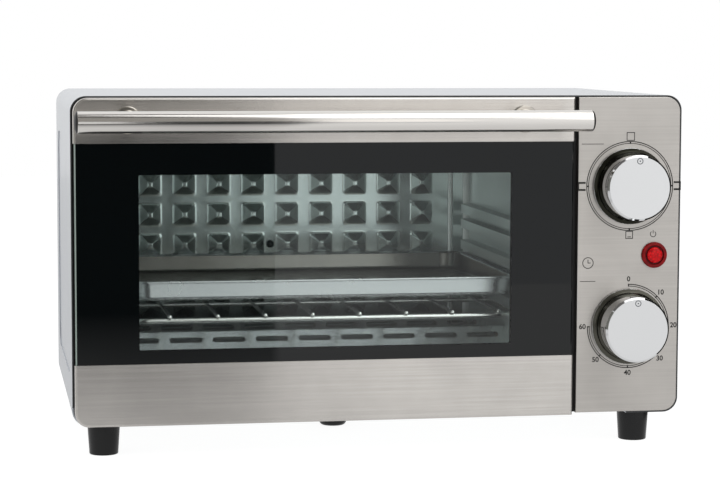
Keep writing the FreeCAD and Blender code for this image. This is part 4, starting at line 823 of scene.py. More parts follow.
def solids(node: str) -> list[tuple[Vector, Vector]]:
    """Return the lowest and highest corners of each separate solid in a node, in millimetres."""
    bm = opened(node)
    seen, boxes = set(), []
    for start in bm.verts:
        if start in seen:
            continue
        queue, points = [start], []
        seen.add(start)
        while queue:
            vert = queue.pop()
            points.append(vert.co / MM)
            for other in (edge.other_vert(vert) for edge in vert.link_edges):
                if other not in seen:
                    seen.add(other)
                    queue.append(other)
        boxes.append((Vector(map(min, zip(*points))), Vector(map(max, zip(*points)))))
    bm.free()
    return boxes


def millimetres(node: str) -> tuple[Vector, Vector]:
    """Return a construction node's lowest and highest corners in millimetres."""
    low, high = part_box(node)
    return low / MM, high / MM


@dataclass(frozen=True)
class Card:
    """A flat glowing card that only glossy surfaces see, between two corners that share one coordinate."""

    name: str
    low: Place
    high: Place
    colour: str
    strength: float = 1.0

    def hang(self) -> None:
        """Hang the card."""
        first, second = (i for i in range(3) if self.low[i] != self.high[i])
        beside, over = list(self.low), list(self.low)
        beside[first], over[second] = self.high[first], self.high[second]
        mesh = bpy.data.meshes.new(self.name)
        mesh.from_pydata([self.low, beside, self.high, over], [], [(0, 1, 2, 3)])
        shade = blank_material(self.name)
        glow = add(shade.node_tree, "ShaderNodeEmission", None,
                   {"Color": linear(self.colour), "Strength": self.strength})
        add(shade.node_tree, "ShaderNodeOutputMaterial", None, {"Surface": glow})
        mesh.materials.append(shade)
        made = placed(self.name, mesh)
        made.visible_camera = made.visible_diffuse = made.visible_shadow = False
        made.visible_transmission = made.visible_volume_scatter = False


@dataclass(frozen=True)
class Lamp:
    """A soft rectangular lamp, whose radiance is 1 where its face is white."""

    name: str
    place: Place
    size: tuple[float, float]
    radiance: float
    aim: Place = (0, 0, 0.1)
    mirrored: bool = True

    def hang(self) -> None:
        """Hang the lamp and turn it to its aim."""
        data = bpy.data.lights.new(self.name, "AREA")
        data.shape = "RECTANGLE"
        data.size, data.size_y = self.size
        data.energy = self.radiance * math.pi * self.size[0] * self.size[1]
        made = placed(self.name, data)
        made.location = self.place
        made.visible_glossy = self.mirrored
        made.rotation_mode = "QUATERNION"
        made.rotation_quaternion = (Vector(self.aim) - Vector(self.place)).to_track_quat("-Z", "Y")


# The edges that cards share. The upright ones stand behind the camera, in the plane y = WALL, and the dark
# one ends at DARK_TO, where the reflections in the pane turn bright.
WALL, LEFT, RIGHT, LOW, HIGH = -2.2, -2.6, 2.6, -0.6, 1.25
DARK_FROM, DARK_TO, DARK_TOP = -0.33, 0.222, 0.5
PALE_TO, PALE_TOP = 0.72, 0.12

CARDS = (
    Card("card_dark", (DARK_FROM, WALL, LOW), (DARK_TO, WALL, DARK_TOP), "343636"),
    Card("card_grey_over", (LEFT, WALL, DARK_TOP), (DARK_TO, WALL, 2.55), "9E9C98"),
    Card("card_bright_left", (LEFT, WALL, LOW), (DARK_FROM, WALL, DARK_TOP), "F4F4F4"),
    Card("card_pale", (DARK_TO, WALL, LOW), (PALE_TO, WALL, PALE_TOP), "E4E5E7"),
    Card("card_white_over", (DARK_TO, WALL, PALE_TOP), (PALE_TO, WALL, HIGH), "FFFDFA", 1.3),
    Card("card_white_right", (PALE_TO, WALL, LOW), (RIGHT, WALL, HIGH), "FFFFFF"),
    Card("card_side", (-0.8, -1.3, 0), (-0.8, -0.2, 0.9), "74746E"),
    Card("card_over_left", (LEFT, WALL, 2.6), (0.25, 0.1, 2.6), "6E6C6A"),
    Card("card_behind_right", (0.75, -0.5, 0), (0.75, 0.9, 1.1), "1A1A18"),
    Card("card_low_right", (0.22, -0.1, 0.003), (1.2, 0.9, 0.003), "1A1A18"),
)

LAMPS = (
    Lamp("softbox_over", (0.65, -0.7, 1.9), (1.7, 1.6), 1.35, aim=(0.2, 0, 0.1)),
    Lamp("fill_front", (-0.3, -1.6, 0.3), (1.0, 0.5), 3.0, mirrored=False),
    Lamp("softbox_left", (-1.7, -1.0, 1.0), (1.2, 1.2), 1.15),
    Lamp("softbox_right", (1.5, -1.7, 1.1), (1.2, 1.2), 0.6),
)


@dataclass
class Studio:
    """Camera, floor, background, cards and soft lights.

    Glossy surfaces see the floor in the shades of the photograph's reflections: a dim part that darkens
    towards its front edge, with a patch that is darker still, and a pale part beyond a slanting seam.
    """

    lens_mm: float = 110.93
    sensor_mm: float = 36.0
    place: Place = (-0.23581, -1.35337, 0.23936)
    turn_deg: float = -9.921
    tilt_deg: float = -5.106
    roll_deg: float = 0.158
    ambient: float = 0.55
    floor_front: float = -0.95
    floor_reach: float = 2.6
    floor_colour: str = "E6E6E6"
    floor_share: float = 0.75
    floor_glow: float = 1.23
    dim_part: Ramp = Ramp(-0.77, -0.25, 0.04, 0.78)
    patch: Ramp = Ramp(0.02, 0.08, 0.82)
    patch_to_middle: float = 0.105
    pale_part: Ramp = Ramp(-0.5, -0.18, 0.93, 0.8)
    seam: Ramp = Ramp(-0.0793, -0.0713)
    seam_slope: float = 0.1356

    def build(self) -> None:
        """Make the camera, the lights and what surrounds the oven."""
        self.camera()
        self.world()
        self.floor()
        for fitting in CARDS + LAMPS:
            fitting.hang()
        bpy.context.scene.view_settings.view_transform = "Standard"

    def camera(self) -> None:
        """Make the camera that sees the oven as the photograph does."""
        data = bpy.data.cameras.new("camera")
        data.lens = self.lens_mm
        data.sensor_width = self.sensor_mm
        camera = placed("camera", data)
        turn = Matrix.Rotation(math.radians(self.turn_deg), 4, "Z")
        tilt = Matrix.Rotation(math.radians(90 + self.tilt_deg), 4, "X")
        roll = Matrix.Rotation(math.radians(self.roll_deg), 4, "Z")
        camera.matrix_world = Matrix.Translation(self.place) @ turn @ tilt @ roll
        bpy.context.scene.camera = camera

    def world(self) -> None:
        """Make a world that shows white and lights softly."""
        world = bpy.data.worlds.new("studio")
        world.use_nodes = True
        tree = world.node_tree
        tree.nodes.clear()
        path = add(tree, "ShaderNodeLightPath")
        seen = path.outputs["Is Camera Ray"]
        for kind in ("Is Glossy Ray", "Is Transmission Ray"):
            seen = add(tree, "ShaderNodeMath", {"operation": "MAXIMUM"}, {0: seen, 1: path.outputs[kind]})
        strength = add(tree, "ShaderNodeMapRange", None, Ramp(0, 1, self.ambient, 1.0).of(seen))
        sky = add(tree, "ShaderNodeBackground", None, {"Color": linear("FFFFFF"), "Strength": strength})
        add(tree, "ShaderNodeOutputWorld", None, {"Surface": sky})
        bpy.context.scene.world = world

    def floor(self) -> None:
        """Lay a pale floor that ends in front of the oven, as the table in its reflections does."""
        mesh = bpy.data.meshes.new("floor")
        front, reach = self.floor_front, self.floor_reach
        mesh.from_pydata([(-reach, front, 0), (reach, front, 0), (reach, reach, 0), (-reach, reach, 0)],
                         [], [(0, 1, 2, 3)])
        shade = blank_material("pale floor")
        tree = shade.node_tree
        path = add(tree, "ShaderNodeLightPath")
        point = add(tree, "ShaderNodeTexCoord")
        place = add(tree, "ShaderNodeSeparateXYZ", None, {0: point.outputs["Object"]})
        x, y = place.outputs["X"], place.outputs["Y"]
        towards_edge = add(tree, "ShaderNodeMapRange", None, self.dim_part.of(y))
        beside = add(tree, "ShaderNodeMath", {"operation": "ADD"}, {0: x, 1: self.patch_to_middle})
        off_patch = add(tree, "ShaderNodeMath", {"operation": "ABSOLUTE"}, {0: beside})
        patch = add(tree, "ShaderNodeMapRange", None, self.patch.of(off_patch))
        dim = add(tree, "ShaderNodeMath", {"operation": "MULTIPLY"}, {0: towards_edge, 1: patch})
        pale = add(tree, "ShaderNodeMapRange", None, self.pale_part.of(y))
        across = add(tree, "ShaderNodeMath", {"operation": "MULTIPLY_ADD"}, {0: y, 1: self.seam_slope, 2: x})
        side = add(tree, "ShaderNodeMapRange", None, self.seam.of(across))
        mirrored = add(tree, "ShaderNodeMix", None, {"Factor": side, "A": dim, "B": pale})
        matt = add(tree, "ShaderNodeBsdfDiffuse", None, {"Color": linear(self.floor_colour)})
        seen = add(tree, "ShaderNodeEmission", None, {"Strength": self.floor_glow})
        share = add(tree, "ShaderNodeMath", {"operation": "MULTIPLY"},
                    {0: path.outputs["Is Camera Ray"], 1: self.floor_share})
        lit = add(tree, "ShaderNodeMixShader", None, {0: share, 1: matt, 2: seen})
        glow = add(tree, "ShaderNodeEmission", None, {"Strength": mirrored})
        both = add(tree, "ShaderNodeMixShader", None, {0: path.outputs["Is Glossy Ray"], 1: lit, 2: glow})
        add(tree, "ShaderNodeOutputMaterial", None, {"Surface": both})
        mesh.materials.append(shade)
        made = placed("floor", mesh)


@dataclass
class Door:
    """The drop-down door: two folded rails, the pane with its printed border, and the handle.

    A face of the pane is flat where its normal lies along Y by flat_face. Its other faces, the ground edges,
    are pale as painted light where their normal points to the left by the slope set below, and dark with the
    black print as painted shade elsewhere.
    """

    edge: float = 0.15
    rail_round: float = 1.5
    rail_end: float = 9.0
    rail_edge: float = 3.0
    glass_edge: float = 1.0
    window: tuple[float, float, float, float] = (-142.6, 76.3, 62.0, 163.2)
    window_corner: float = 1.0
    pane_corner: float = 1.5
    pane_chamfer: float = 0.75
    pane_crease: float = 20.0
    flat_face: float = 0.99
    painted_light_slope: float = 0.3
    border_inset: float = 0.5
    border_corner: float = 1.0
    film: float = 0.06
    tube_wall: float = 0.9
    tube_lips: tuple[float, float] = (0.2, 0.4)
    plug_depth: float = 8.0
    plug_lead: float = 0.4
    plug_play: float = 0.02
    plug_crease: float = 50.0
    post_foot: tuple[float, float] = (8.0, 2.0)
    post_rounds: tuple[float, float] = (0.7, 0.8)
    post_radius: float = 5.2
    post_end: float = 3.3

    def build(self) -> None:
        """Build every piece of the door that shows."""
        for node, edge_to_glass in (("door_top_rail", 0), ("door_bottom_rail", 1)):
            self.rail(node, edge_to_glass)
        self.pane()
        self.border()
        self.tube()
        self.caps()
        self.posts()

    def rail(self, node: str, edge_to_glass: int) -> None:
        """Fold one brushed rail, with round outer edges.

        Args:
            node: the rail's construction node.
            edge_to_glass: which edge lies along the glass and stays sharp: 0 the lower, 1 the upper.
        """
        low, high = millimetres(node)
        glass_z = (low.z, high.z)[edge_to_glass]

        def rim(point: Vector) -> bool:
            """Say whether a point lies on the outer edge of the rail's front."""
            at_front = abs(point.y - low.y) < TOUCH_MM
            at_end = min(point.x - low.x, high.x - point.x) < self.rail_end
            at_edge = min(point.z - low.z, high.z - point.z) <= self.rail_edge
            return at_front and (at_end or at_edge) and abs(point.z - glass_z) > self.glass_edge

        piece(node + "_skin", softened(node, self.edge, self.rail_round, rim), "door", "satin_steel",
              RAIL_STEEL, stands_for=(node,))

    def outline(self, inset: float, corner: float) -> list[Point]:
        """Return the pane's outline pulled in by an inset, with round corners."""
        low, high = millimetres("door_glass")
        return rectangle(low.x + inset, high.x - inset, low.z + inset, high.z - inset, corner)

    def pane(self) -> None:
        """Cut the pane, with ground and chamfered edges."""
        low, high = millimetres("door_glass")
        cut = self.pane_chamfer
        inner = self.outline(cut, self.pane_corner)
        outer = self.outline(0, self.pane_corner + cut)
        clear = rectangle(*self.window, self.window_corner)
        bm = bmesh.new()
        stack(bm, [upright(clear, low.y), upright(inner, low.y), upright(outer, low.y + cut),
                   upright(outer, high.y - cut), upright(inner, high.y)])
        mesh = mesh_of(bm, self.pane_crease)
        x0, x1, z0, z1 = self.window
        for face in mesh.polygons:
            x, z = face.center.x / MM, face.center.z / MM
            at_window = x0 - 1 < x < x1 + 1 and z0 - 1 < z < z1 + 1
            is_flat = abs(face.normal.y) > self.flat_face
            is_clear = is_flat and (at_window or face.normal.y > 0)
            # Left-facing edge faces are pale as painted light; the other edge faces take the black print as
            # painted shade.
            is_painted_lit_edge = not is_flat and face.normal.x < -self.painted_light_slope
            face.material_index = 1 if is_painted_lit_edge else 0 if is_clear else 2
        piece("door_pane", mesh, "door", "door_pane", PANE, PANE_EDGE_PAINTED_LIGHT, PRINTED_GLASS,
              stands_for=("door_glass",))

    def border(self) -> None:
        """Print the black border on the pane's inner face, round the clear window."""
        back = millimetres("door_glass")[1].y - self.film / 2
        front = back - self.film
        outer = self.outline(self.border_inset, self.border_corner)
        inner = rectangle(*self.window, self.window_corner)
        bm = bmesh.new()
        stack(bm, [upright(outer, front), upright(inner, front), upright(inner, back),
                   upright(outer, back)], Ends.JOINED)
        piece("door_pane_border", mesh_of(bm), "door", "door_pane", BORDER_INK)

    def tube(self) -> None:
        """Cut the handle tube, with turned-over ends."""
        low, high = millimetres("handle_tube")
        middle = (low + high) / 2
        radius, length = (high.z - low.z) / 2, high.x - low.x
        bore = radius - self.tube_wall
        inside, outside = self.tube_lips
        profile = rounded_path([(bore, 0, inside), (radius, 0, outside), (radius, length, outside),
                                (bore, length, inside)], 4, closed=True)
        bm = bmesh.new()
        turned(bm, profile, facing((1, 0, 0), low.x, middle.y, middle.z), 96, Ends.JOINED)
        piece("handle_bar", mesh_of(bm), "door", "handle_steel", TUBE_STEEL, stands_for=("handle_tube",))

    def caps(self) -> None:
        """Mould the two domed plugs in the tube's ends."""
        low, high = millimetres("handle_end_caps")
        tube_low, tube_high = millimetres("handle_tube")
        middle = (tube_low + tube_high) / 2
        rim = (high.z - low.z) / 2
        plug = (tube_high.z - tube_low.z) / 2 - self.tube_wall - self.plug_play
        deep, lead = self.plug_depth, self.plug_lead
        bm = bmesh.new()
        for tip, end, side in ((low.x, tube_low.x, -1), (high.x, tube_high.x, 1)):
            profile = [(0, -deep), (plug - lead, -deep), (plug, lead - deep), (plug, 0), (rim, 0)]
            profile += dome(rim, 0, abs(tip - end), 8)
            turned(bm, profile, facing((side, 0, 0), end, middle.y, middle.z), 48)
        piece("handle_plugs", mesh_of(bm, self.plug_crease), "door", "black_plastic", BLACK_PLASTIC,
              stands_for=("handle_end_caps",))

    def posts(self) -> None:
        """Turn the two posts, with their wide feet, up to the tube."""
        low, high = millimetres("handle_posts")
        tube_low, tube_high = millimetres("handle_tube")
        foot, thick = self.post_foot
        over_foot, under_stem = self.post_rounds
        stem = self.post_radius
        reach = high.y - (tube_low.y + tube_high.y) / 2 - self.post_end
        profile = rounded_path([(0, 0, 0), (foot, 0, 0), (foot, thick, over_foot), (stem, thick, under_stem),
                                (stem, reach, 0), (0, reach, 0)])
        bm = bmesh.new()
        for x in (low.x + foot, high.x - foot):
            turned(bm, profile, facing((0, -1, 0), x, high.y, (low.z + high.z) / 2))
        piece("handle_standoffs", mesh_of(bm), "door", "post_metal", POST_CHROME,
              stands_for=("handle_posts",))


@dataclass(frozen=True)
class Dial:
    """The print round a knob: two thin rings, or parts of them, with ticks across the gap."""

    centre: Point
    radius: float
    sweep: float
    ticks: int
    turn_deg: float
    tick: tuple[float, float]
    lines: tuple[float, float] = (0.55, 0.42)
    ring_gap: float = 1.1
    tick_inset: float = 0.6


@dataclass
class ControlPanel:
    """The steel front beside the door, with generic marks: two dials, plain numbers and simple signs.

    A bar is given by the place of its middle, its width and its height. The function signs are placed from
    the middle of their dial. An arc is given as the method arc takes it.
    """

    edge_round: float = 0.9
    edge: float = 0.15
    film: float = 0.05
    steps: int = 96
    function_dial: Dial = Dial((149.3, 154.3), 26.5, 360, 4, 90, (0.9, 1.6))
    timer_dial: Dial = Dial((149.3, 70.4), 25.1, 270, 7, 45, (0.7, 1.8))
    side_sign: tuple[Bar, ...] = ((29.4, -2.1, 4.4, 1.1), (29.4, 2.1, 4.4, 1.1), (31.4, 0.0, 0.4, 3.4))
    square_signs: tuple[Place, ...] = ((0.2, 29.5, 4.6), (0.0, -29.2, 4.2))
    square_line: float = 0.45
    lower_sign: Bar = (0.0, -30.4, 2.2, 0.5)
    minutes: tuple[str, ...] = ("0", "10", "20", "30", "40", "50", "60")
    numeral: float = 4.2
    stroke: float = 0.1
    numeral_reach: float = 28.2
    clock: tuple[float, ...] = (124.1, 108.6, 3.2, 0.45)
    clock_hands: tuple[Bar, ...] = ((124.1, 109.6, 0.45, 2.2), (124.8, 108.6, 1.8, 0.45))
    power: tuple[float, ...] = (164.1, 125.5, 1.7, 0.42, 35.0, 290.0)
    power_bar: Bar = (164.1, 126.8, 0.42, 1.9)
    rules: tuple[Bar, ...] = ((126.2, 179.4, 13.5, 0.35), (124.0, 97.6, 9.6, 0.35))
    lamp_barrel: tuple[float, float] = (6.0, 12.0)
    lamp_flange: float = 1.6
    lamp_lip: float = 5.8
    lamp_groove: tuple[float, float, float] = (4.9, 5.5, 0.7)
    lamp_dome: tuple[float, float] = (4.7, 1.3)
    lamp_crease: float = 50.0
    groove_shade_band: tuple[float, float, float] = (4.68, 5.75, 1.2)
    deep_red_from: float = 5.2
    face: float = field(init=False)

    def __post_init__(self) -> None:
        """Find where the panel's front lies along Y."""
        self.face = millimetres("control_panel")[0].y

    def build(self) -> None:
        """Build the plate, its marks and the pilot lamp."""
        plate = softened("control_panel", self.edge, self.edge_round,
                         lambda point: abs(point.y - self.face) < TOUCH_MM)
        piece("panel_plate", plate, "oven_body", "satin_steel", BRUSHED, stands_for=("control_panel",))
        for name, draw in (("function_dial_print", self.function_print),
                           ("timer_dial_print", self.timer_print), ("symbol_print", self.signs)):
            bm = bmesh.new()
            draw(bm)
            piece(name, mesh_of(bm), "oven_body", "satin_steel", PANEL_INK)
        self.lamp()

    def bar(self, bm: EditMesh, x: float, z: float, wide: float, tall: float) -> None:
        """Add a bar of film with its middle at x and z."""
        outline = rectangle(x - wide / 2, x + wide / 2, z - tall / 2, z + tall / 2)
        stack(bm, [upright(outline, self.face - self.film), upright(outline, self.face + self.film)])

    def square(self, bm: EditMesh, x: float, z: float, size: float) -> None:
        """Add the outline of a square with its middle at x and z."""
        half, line = size / 2, self.square_line
        for side in (-1, 1):
            self.bar(bm, x + side * half, z, line, size + line)
            self.bar(bm, x, z + side * half, size - line, line)

    def arc(self, bm: EditMesh, x: float, z: float, radius: float, line: float, start: float = 0.0,
            sweep: float = 360.0) -> None:
        """Add a ring of film or a part of one.

        Args:
            bm: the edit mesh.
            x: the place of its middle along X.
            z: the place of its middle along Z.
            radius: the radius of its line.
            line: the width of its line.
            start: where it starts, in degrees clockwise from the top.
            sweep: how far it runs clockwise, in degrees.
        """
        whole = sweep >= 360
        steps = max(8, round(self.steps * sweep / 360))
        outer, inner = radius + line / 2, radius - line / 2
        section = ((outer, -self.film), (inner, -self.film), (inner, self.film), (outer, self.film))
        loops = []
        for i in range(steps + (not whole)):
            turn = math.radians(start + sweep * i / steps)
            loops.append([Vector((x + r * math.sin(turn), self.face + y, z + r * math.cos(turn))) * MM
                          for r, y in section])
        stack(bm, loops, Ends.JOINED if whole else Ends.BOTH)

    def dial(self, bm: EditMesh, dial: Dial) -> None:
        """Add a dial's two rings and its ticks."""
        x, z = dial.centre
        wide, long = dial.tick
        for radius, line in zip((dial.radius, dial.radius - dial.ring_gap), dial.lines):
            self.arc(bm, x, z, radius, line, 0, dial.sweep)
        mesh = grown(tick_ring_tree(), {
            "Count": dial.ticks, "Radius": (dial.radius - dial.tick_inset) * MM,
            "Turn": math.radians(dial.turn_deg), "Tick": (wide * MM, 2 * self.film * MM, long * MM),
            "Material": PANEL_INK.material()})
        mesh.transform(Matrix.Translation((x * MM, self.face * MM, z * MM)))
        bm.from_mesh(mesh)

    def figures(self, bm: EditMesh, text: str, x: float, z: float) -> None:
        """Add a plain number with its middle at x and z."""
        curve = bpy.data.curves.new("numeral", "FONT")
        curve.body = text
        curve.align_x, curve.align_y = "CENTER", "CENTER"
        curve.size = self.numeral * MM
        curve.extrude = self.film * MM
        curve.offset = self.stroke * MM
        curve.resolution_u = 4
        mesh = baked(bpy.data.objects.new("numeral", curve))
        stand = Matrix.Rotation(math.radians(90), 4, "X")
        mesh.transform(Matrix.Translation((x * MM, self.face * MM, z * MM)) @ stand)
        bm.from_mesh(mesh)

    def function_print(self, bm: EditMesh) -> None:
        """Print the function knob's dial and the signs at its four places."""
        self.dial(bm, self.function_dial)
        x, z = self.function_dial.centre
        for side in (-1, 1):
            for across, up, wide, tall in self.side_sign:
                self.bar(bm, x + side * across, z + up, wide, tall)
        for across, up, size in self.square_signs:
            self.square(bm, x + across, z + up, size)
        across, up, wide, tall = self.lower_sign
        self.bar(bm, x + across, z + up, wide, tall)

    def timer_print(self, bm: EditMesh) -> None:
        """Print the timer's dial and its minutes."""
        self.dial(bm, self.timer_dial)
        x, z = self.timer_dial.centre
        for i, minutes in enumerate(self.minutes):
            turn = math.radians(self.timer_dial.turn_deg * i)
            self.figures(bm, minutes, x + self.numeral_reach * math.sin(turn),
                         z + self.numeral_reach * math.cos(turn))

    def signs(self, bm: EditMesh) -> None:
        """Print a clock, the sign for power and two plain rules beside the dials."""
        self.arc(bm, *self.clock)
        for bar in self.clock_hands:
            self.bar(bm, *bar)
        self.arc(bm, *self.power)
        for bar in (self.power_bar, *self.rules):
            self.bar(bm, *bar)

    def lamp(self) -> None:
        """Turn the lamp's red lens: a flange, a groove darkened with painted shade, and a low dome."""
        low, high = millimetres("pilot_lamp_lens")
        middle = (low + high) / 2
        flange, top = (high.x - low.x) / 2, self.face - low.y
        barrel, deep = self.lamp_barrel
        inner, outer, bottom = self.lamp_groove
        radius, rise = self.lamp_dome
        thick = self.lamp_flange
        profile = rounded_path([(0, -deep, 0), (barrel, -deep, 0.5), (barrel, 0, 0), (flange, 0, 0),
                                (flange, thick, 0.7), (self.lamp_lip, thick + 0.1, 0.2),
                                (outer, bottom, 0.2), (inner, bottom, 0.1), (radius, top - rise, 0.4)], 4)
        bm = bmesh.new()
        turned(bm, profile + dome(radius, top - rise, rise, 6),
               facing((0, -1, 0), middle.x, self.face, middle.z), 72)
        mesh = mesh_of(bm, self.lamp_crease)
        # Faces in the groove take the darker red as painted shade.
        band_from, band_to, below = self.groove_shade_band
        for face in mesh.polygons:
            centre = face.center / MM
            reach = math.hypot(centre.x - middle.x, centre.z - middle.z)
            in_shaded_groove = band_from < reach < band_to and centre.y > low.y + below
            face.material_index = 2 if in_shaded_groove else int(reach > self.deep_red_from)
        piece("lamp_lens", mesh, "oven_body", "red_lens", RED_LENS, RED_FLANGE, RED_GROOVE_PAINTED_SHADE,
              stands_for=("pilot_lamp_lens",))


@dataclass
class Knob:
    """A chromium-plated knob: a skirt, a cove whose deep part carries a painted reflection, a slightly
    tapered grip and a face with an index ring.
    """

    node: str
    body: str
    cove_reflection_finish: Finish = KNOB_COVE_PAINTED_DARK_REFLECTION
    hollow: tuple[float, float, float] = (17.0, 17.6, 3.0)
    skirt_wall: float = 1.4
    skirt_rim: float = 0.2
    cove: float = 4.2
    cove_round: float = 1.7
    painted_reflection_depth: float = 2.8
    grip: tuple[float, float] = (19.8, 19.35)
    chamfer: float = 1.1
    index_reach: float = 15.85
    index: tuple[float, float] = (1.9, 1.4)
    index_dot: float = 0.45
    index_sink: float = 0.2
    film: float = 0.04

    def build(self) -> None:
        """Turn the knob and inlay its index ring."""
        low, high = millimetres(self.node)
        middle = (low + high) / 2
        skirt, tall = (high.x - low.x) / 2, high.y - low.y
        cove_edge = skirt - self.skirt_rim
        inner, mouth, deep = self.hollow
        foot, tip = self.grip
        wall = self.skirt_wall
        profile = rounded_path([
            (0, deep, 0), (inner, deep, 0.5), (mouth, 0, 0.4), (skirt, 0, 0.3), (skirt, wall, 0.4),
            (cove_edge, wall + 0.2, 0.1), (foot + 0.3, wall + 0.9, self.cove_round),
            (foot, wall + self.cove, 0.5), (tip, tall - self.chamfer, 0.2), (tip - self.chamfer, tall, 0.2),
            (0, tall, 0)], 6)
        bm = bmesh.new()
        turned(bm, profile, facing((0, -1, 0), middle.x, high.y, middle.z), 128)
        mesh = mesh_of(bm)
        cove_back = high.y - wall
        for face in mesh.polygons:
            centre = face.center / MM
            reach = math.hypot(centre.x - middle.x, centre.z - middle.z)
            # The deep part of the cove takes the cove finish, a painted reflection.
            in_painted_reflection = cove_back - self.painted_reflection_depth < centre.y < cove_back
            face.material_index = int(in_painted_reflection and foot - 0.1 < reach < cove_edge)
        piece(self.node + "_turned", weighted(mesh), self.body, "knob_finish", KNOB_CHROME,
              self.cove_reflection_finish, stands_for=(self.node,))
        outer, inner = self.index
        sunk = -self.index_sink
        ring = bmesh.new()
        spot = facing((0, -1, 0), middle.x, low.y, middle.z + self.index_reach)
        turned(ring, [(outer, sunk), (outer, self.film), (inner, self.film), (inner, sunk)], spot, 40,
               Ends.JOINED)
        turned(ring, [(0, sunk), (self.index_dot, sunk), (self.index_dot, self.film), (0, self.film)],
               spot, 16)
        piece(self.node + "_index", mesh_of(ring), self.body, "knob_finish", INDEX_INK)


@dataclass
class Cavity:
    """The baking space: the back wall with its pyramids, the ribbed sides and the slotted heater guards.

    The raised field's edge is given as insets past the margin, and the wall's own edge as insets from its
    outline, each with a depth behind the field.
    """

    columns: int = 9
    rows: int = 6
    pitch: tuple[float, float] = (22.8, 20.15)
    first_row: float = 64.9
    pyramid: tuple[float, float, float] = (14.3, 3.0, 4.0)
    press_round: float = 3.4
    tip_share: float = 0.6
    pyramid_corners: tuple[float, float] = (2.2, 0.4)
    margin: float = 11.2
    field_edge: tuple[Point, ...] = (
        (3.4, 0.0), (3.0, -0.04), (1.7, -0.42), (1.3, -0.46), (0.8, -0.3), (0.4, 0.1), (0.1, 0.6),
        (-0.15, 1.4), (-0.6, 1.85), (-1.2, 2.0))
    wall_edge: tuple[Point, ...] = ((4.2, 2.0), (3.6, 1.94), (2.0, 1.4), (0.9, 0.6), (0.2, -0.6))
    wall: float = 0.5
    highlight_fold_slope: float = 0.25
    side_edge: float = 0.45
    guard_edge: float = 0.12

    def build(self) -> None:
        """Build the back wall, the sides and the guards."""
        self.back_wall()
        for node, name, edge, finish in (
                ("cavity_left_wall", "cavity_left_wall_pressed", self.side_edge, SIDE_SHEET_PAINTED_LIGHT),
                ("cavity_right_wall", "cavity_right_wall_pressed", self.side_edge, SIDE_SHEET_PAINTED_LIGHT),
                ("heater_guards", "slotted_guards", self.guard_edge, GUARD_SHEET)):
            piece(name, softened(node, edge), "oven_body", "galvanised_sheet", finish, stands_for=(node,))

    def tile(self) -> Mesh:
        """Press one pyramid into a flat tile, which stands in the plane of X and Z and faces -Y."""
        base, top, tall = self.pyramid
        wide, high = self.pitch
        foot_corner, tip_corner = self.pyramid_corners
        lean = math.atan2(tall, (base - top) / 2)
        soft, soft_tip = self.press_round, self.tip_share * self.press_round
        reach = soft * math.tan(lean / 2)
        turns = [lean * i / 4 for i in range(5)]
        profile = [(base / 2 + reach - soft * math.sin(turn), soft * (1 - math.cos(turn)), foot_corner)
                   for turn in turns]
        profile += [(top / 2 - self.tip_share * reach + soft_tip * math.sin(turn),
                     tall - soft_tip * (1 - math.cos(turn)), tip_corner) for turn in reversed(turns)]
        loops = [upright(rectangle(-wide / 2, wide / 2, -high / 2, high / 2, 0.001, 3), 0)]
        loops += [upright(rectangle(-half, half, -half, half, corner, 3), -height)
                  for half, height, corner in profile]
        bm = bmesh.new()
        stack(bm, loops, Ends.LAST)
        bmesh.ops.remove_doubles(bm, verts=bm.verts, dist=TOUCH_MM * MM)
        return plain(bm)

    def back_wall(self) -> None:
        """Set the pyramids into the raised field of the back wall and fold its edges, with a painted
        highlight on the folds beside the field.
        """
        low, high = millimetres("cavity_back_wall")
        field_y = low.y + self.pyramid[2]
        step_x, step_z = self.pitch
        x0 = (low.x + high.x) / 2 - self.columns / 2 * step_x
        z0 = self.first_row - step_z / 2
        x1, z1 = x0 + self.columns * step_x, z0 + self.rows * step_z
        corners = ((x0, z0), (x1, z0), (x1, z1), (x0, z1))
        inner = []
        for (ax, az), (bx, bz), count in zip(corners, corners[1:] + corners[:1],
                                             (self.columns, self.rows) * 2):
            inner += [(ax + (bx - ax) * i / count, az + (bz - az) * i / count) for i in range(count)]
        loops = [upright(inner, field_y)]
        for inset, depth in [(self.margin + u, y) for u, y in self.field_edge] + list(self.wall_edge):
            loops.append(upright([
                (low.x + inset + (x - x0) / (x1 - x0) * (high.x - low.x - 2 * inset),
                 low.z + inset + (z - z0) / (z1 - z0) * (high.z - low.z - 2 * inset))
                for x, z in inner], field_y + depth))
        bm = bmesh.new()
        stack(bm, loops, Ends.OPEN)
        tile = self.tile()
        tile.transform(Matrix.Translation(((x0 + step_x / 2) * MM, field_y * MM, self.first_row * MM)))
        sheet = grown(repeated_tree(), {
            "Tile": shape_object("tile", tile), "Columns": self.columns, "Rows": self.rows,
            "Column Step": (step_x * MM, 0, 0), "Row Step": (0, 0, step_z * MM),
            "Material": FIELD_SHEET.material()}, plain(bm))
        wall = thickened(sheet, self.wall)
        wall.materials.clear()
        # Faces beside the field that turn towards X take the near-white finish as a painted highlight on the
        # folds.
        for face in wall.polygons:
            beside_field = not x0 - 1 < face.center.x / MM < x1 + 1
            face.material_index = int(beside_field and abs(face.normal.x) > self.highlight_fold_slope)
        piece("pyramid_back_wall", wall, "oven_body", "galvanised_sheet", FIELD_SHEET, PAINTED_FOLD_HIGHLIGHT,
              stands_for=("cavity_back_wall",))


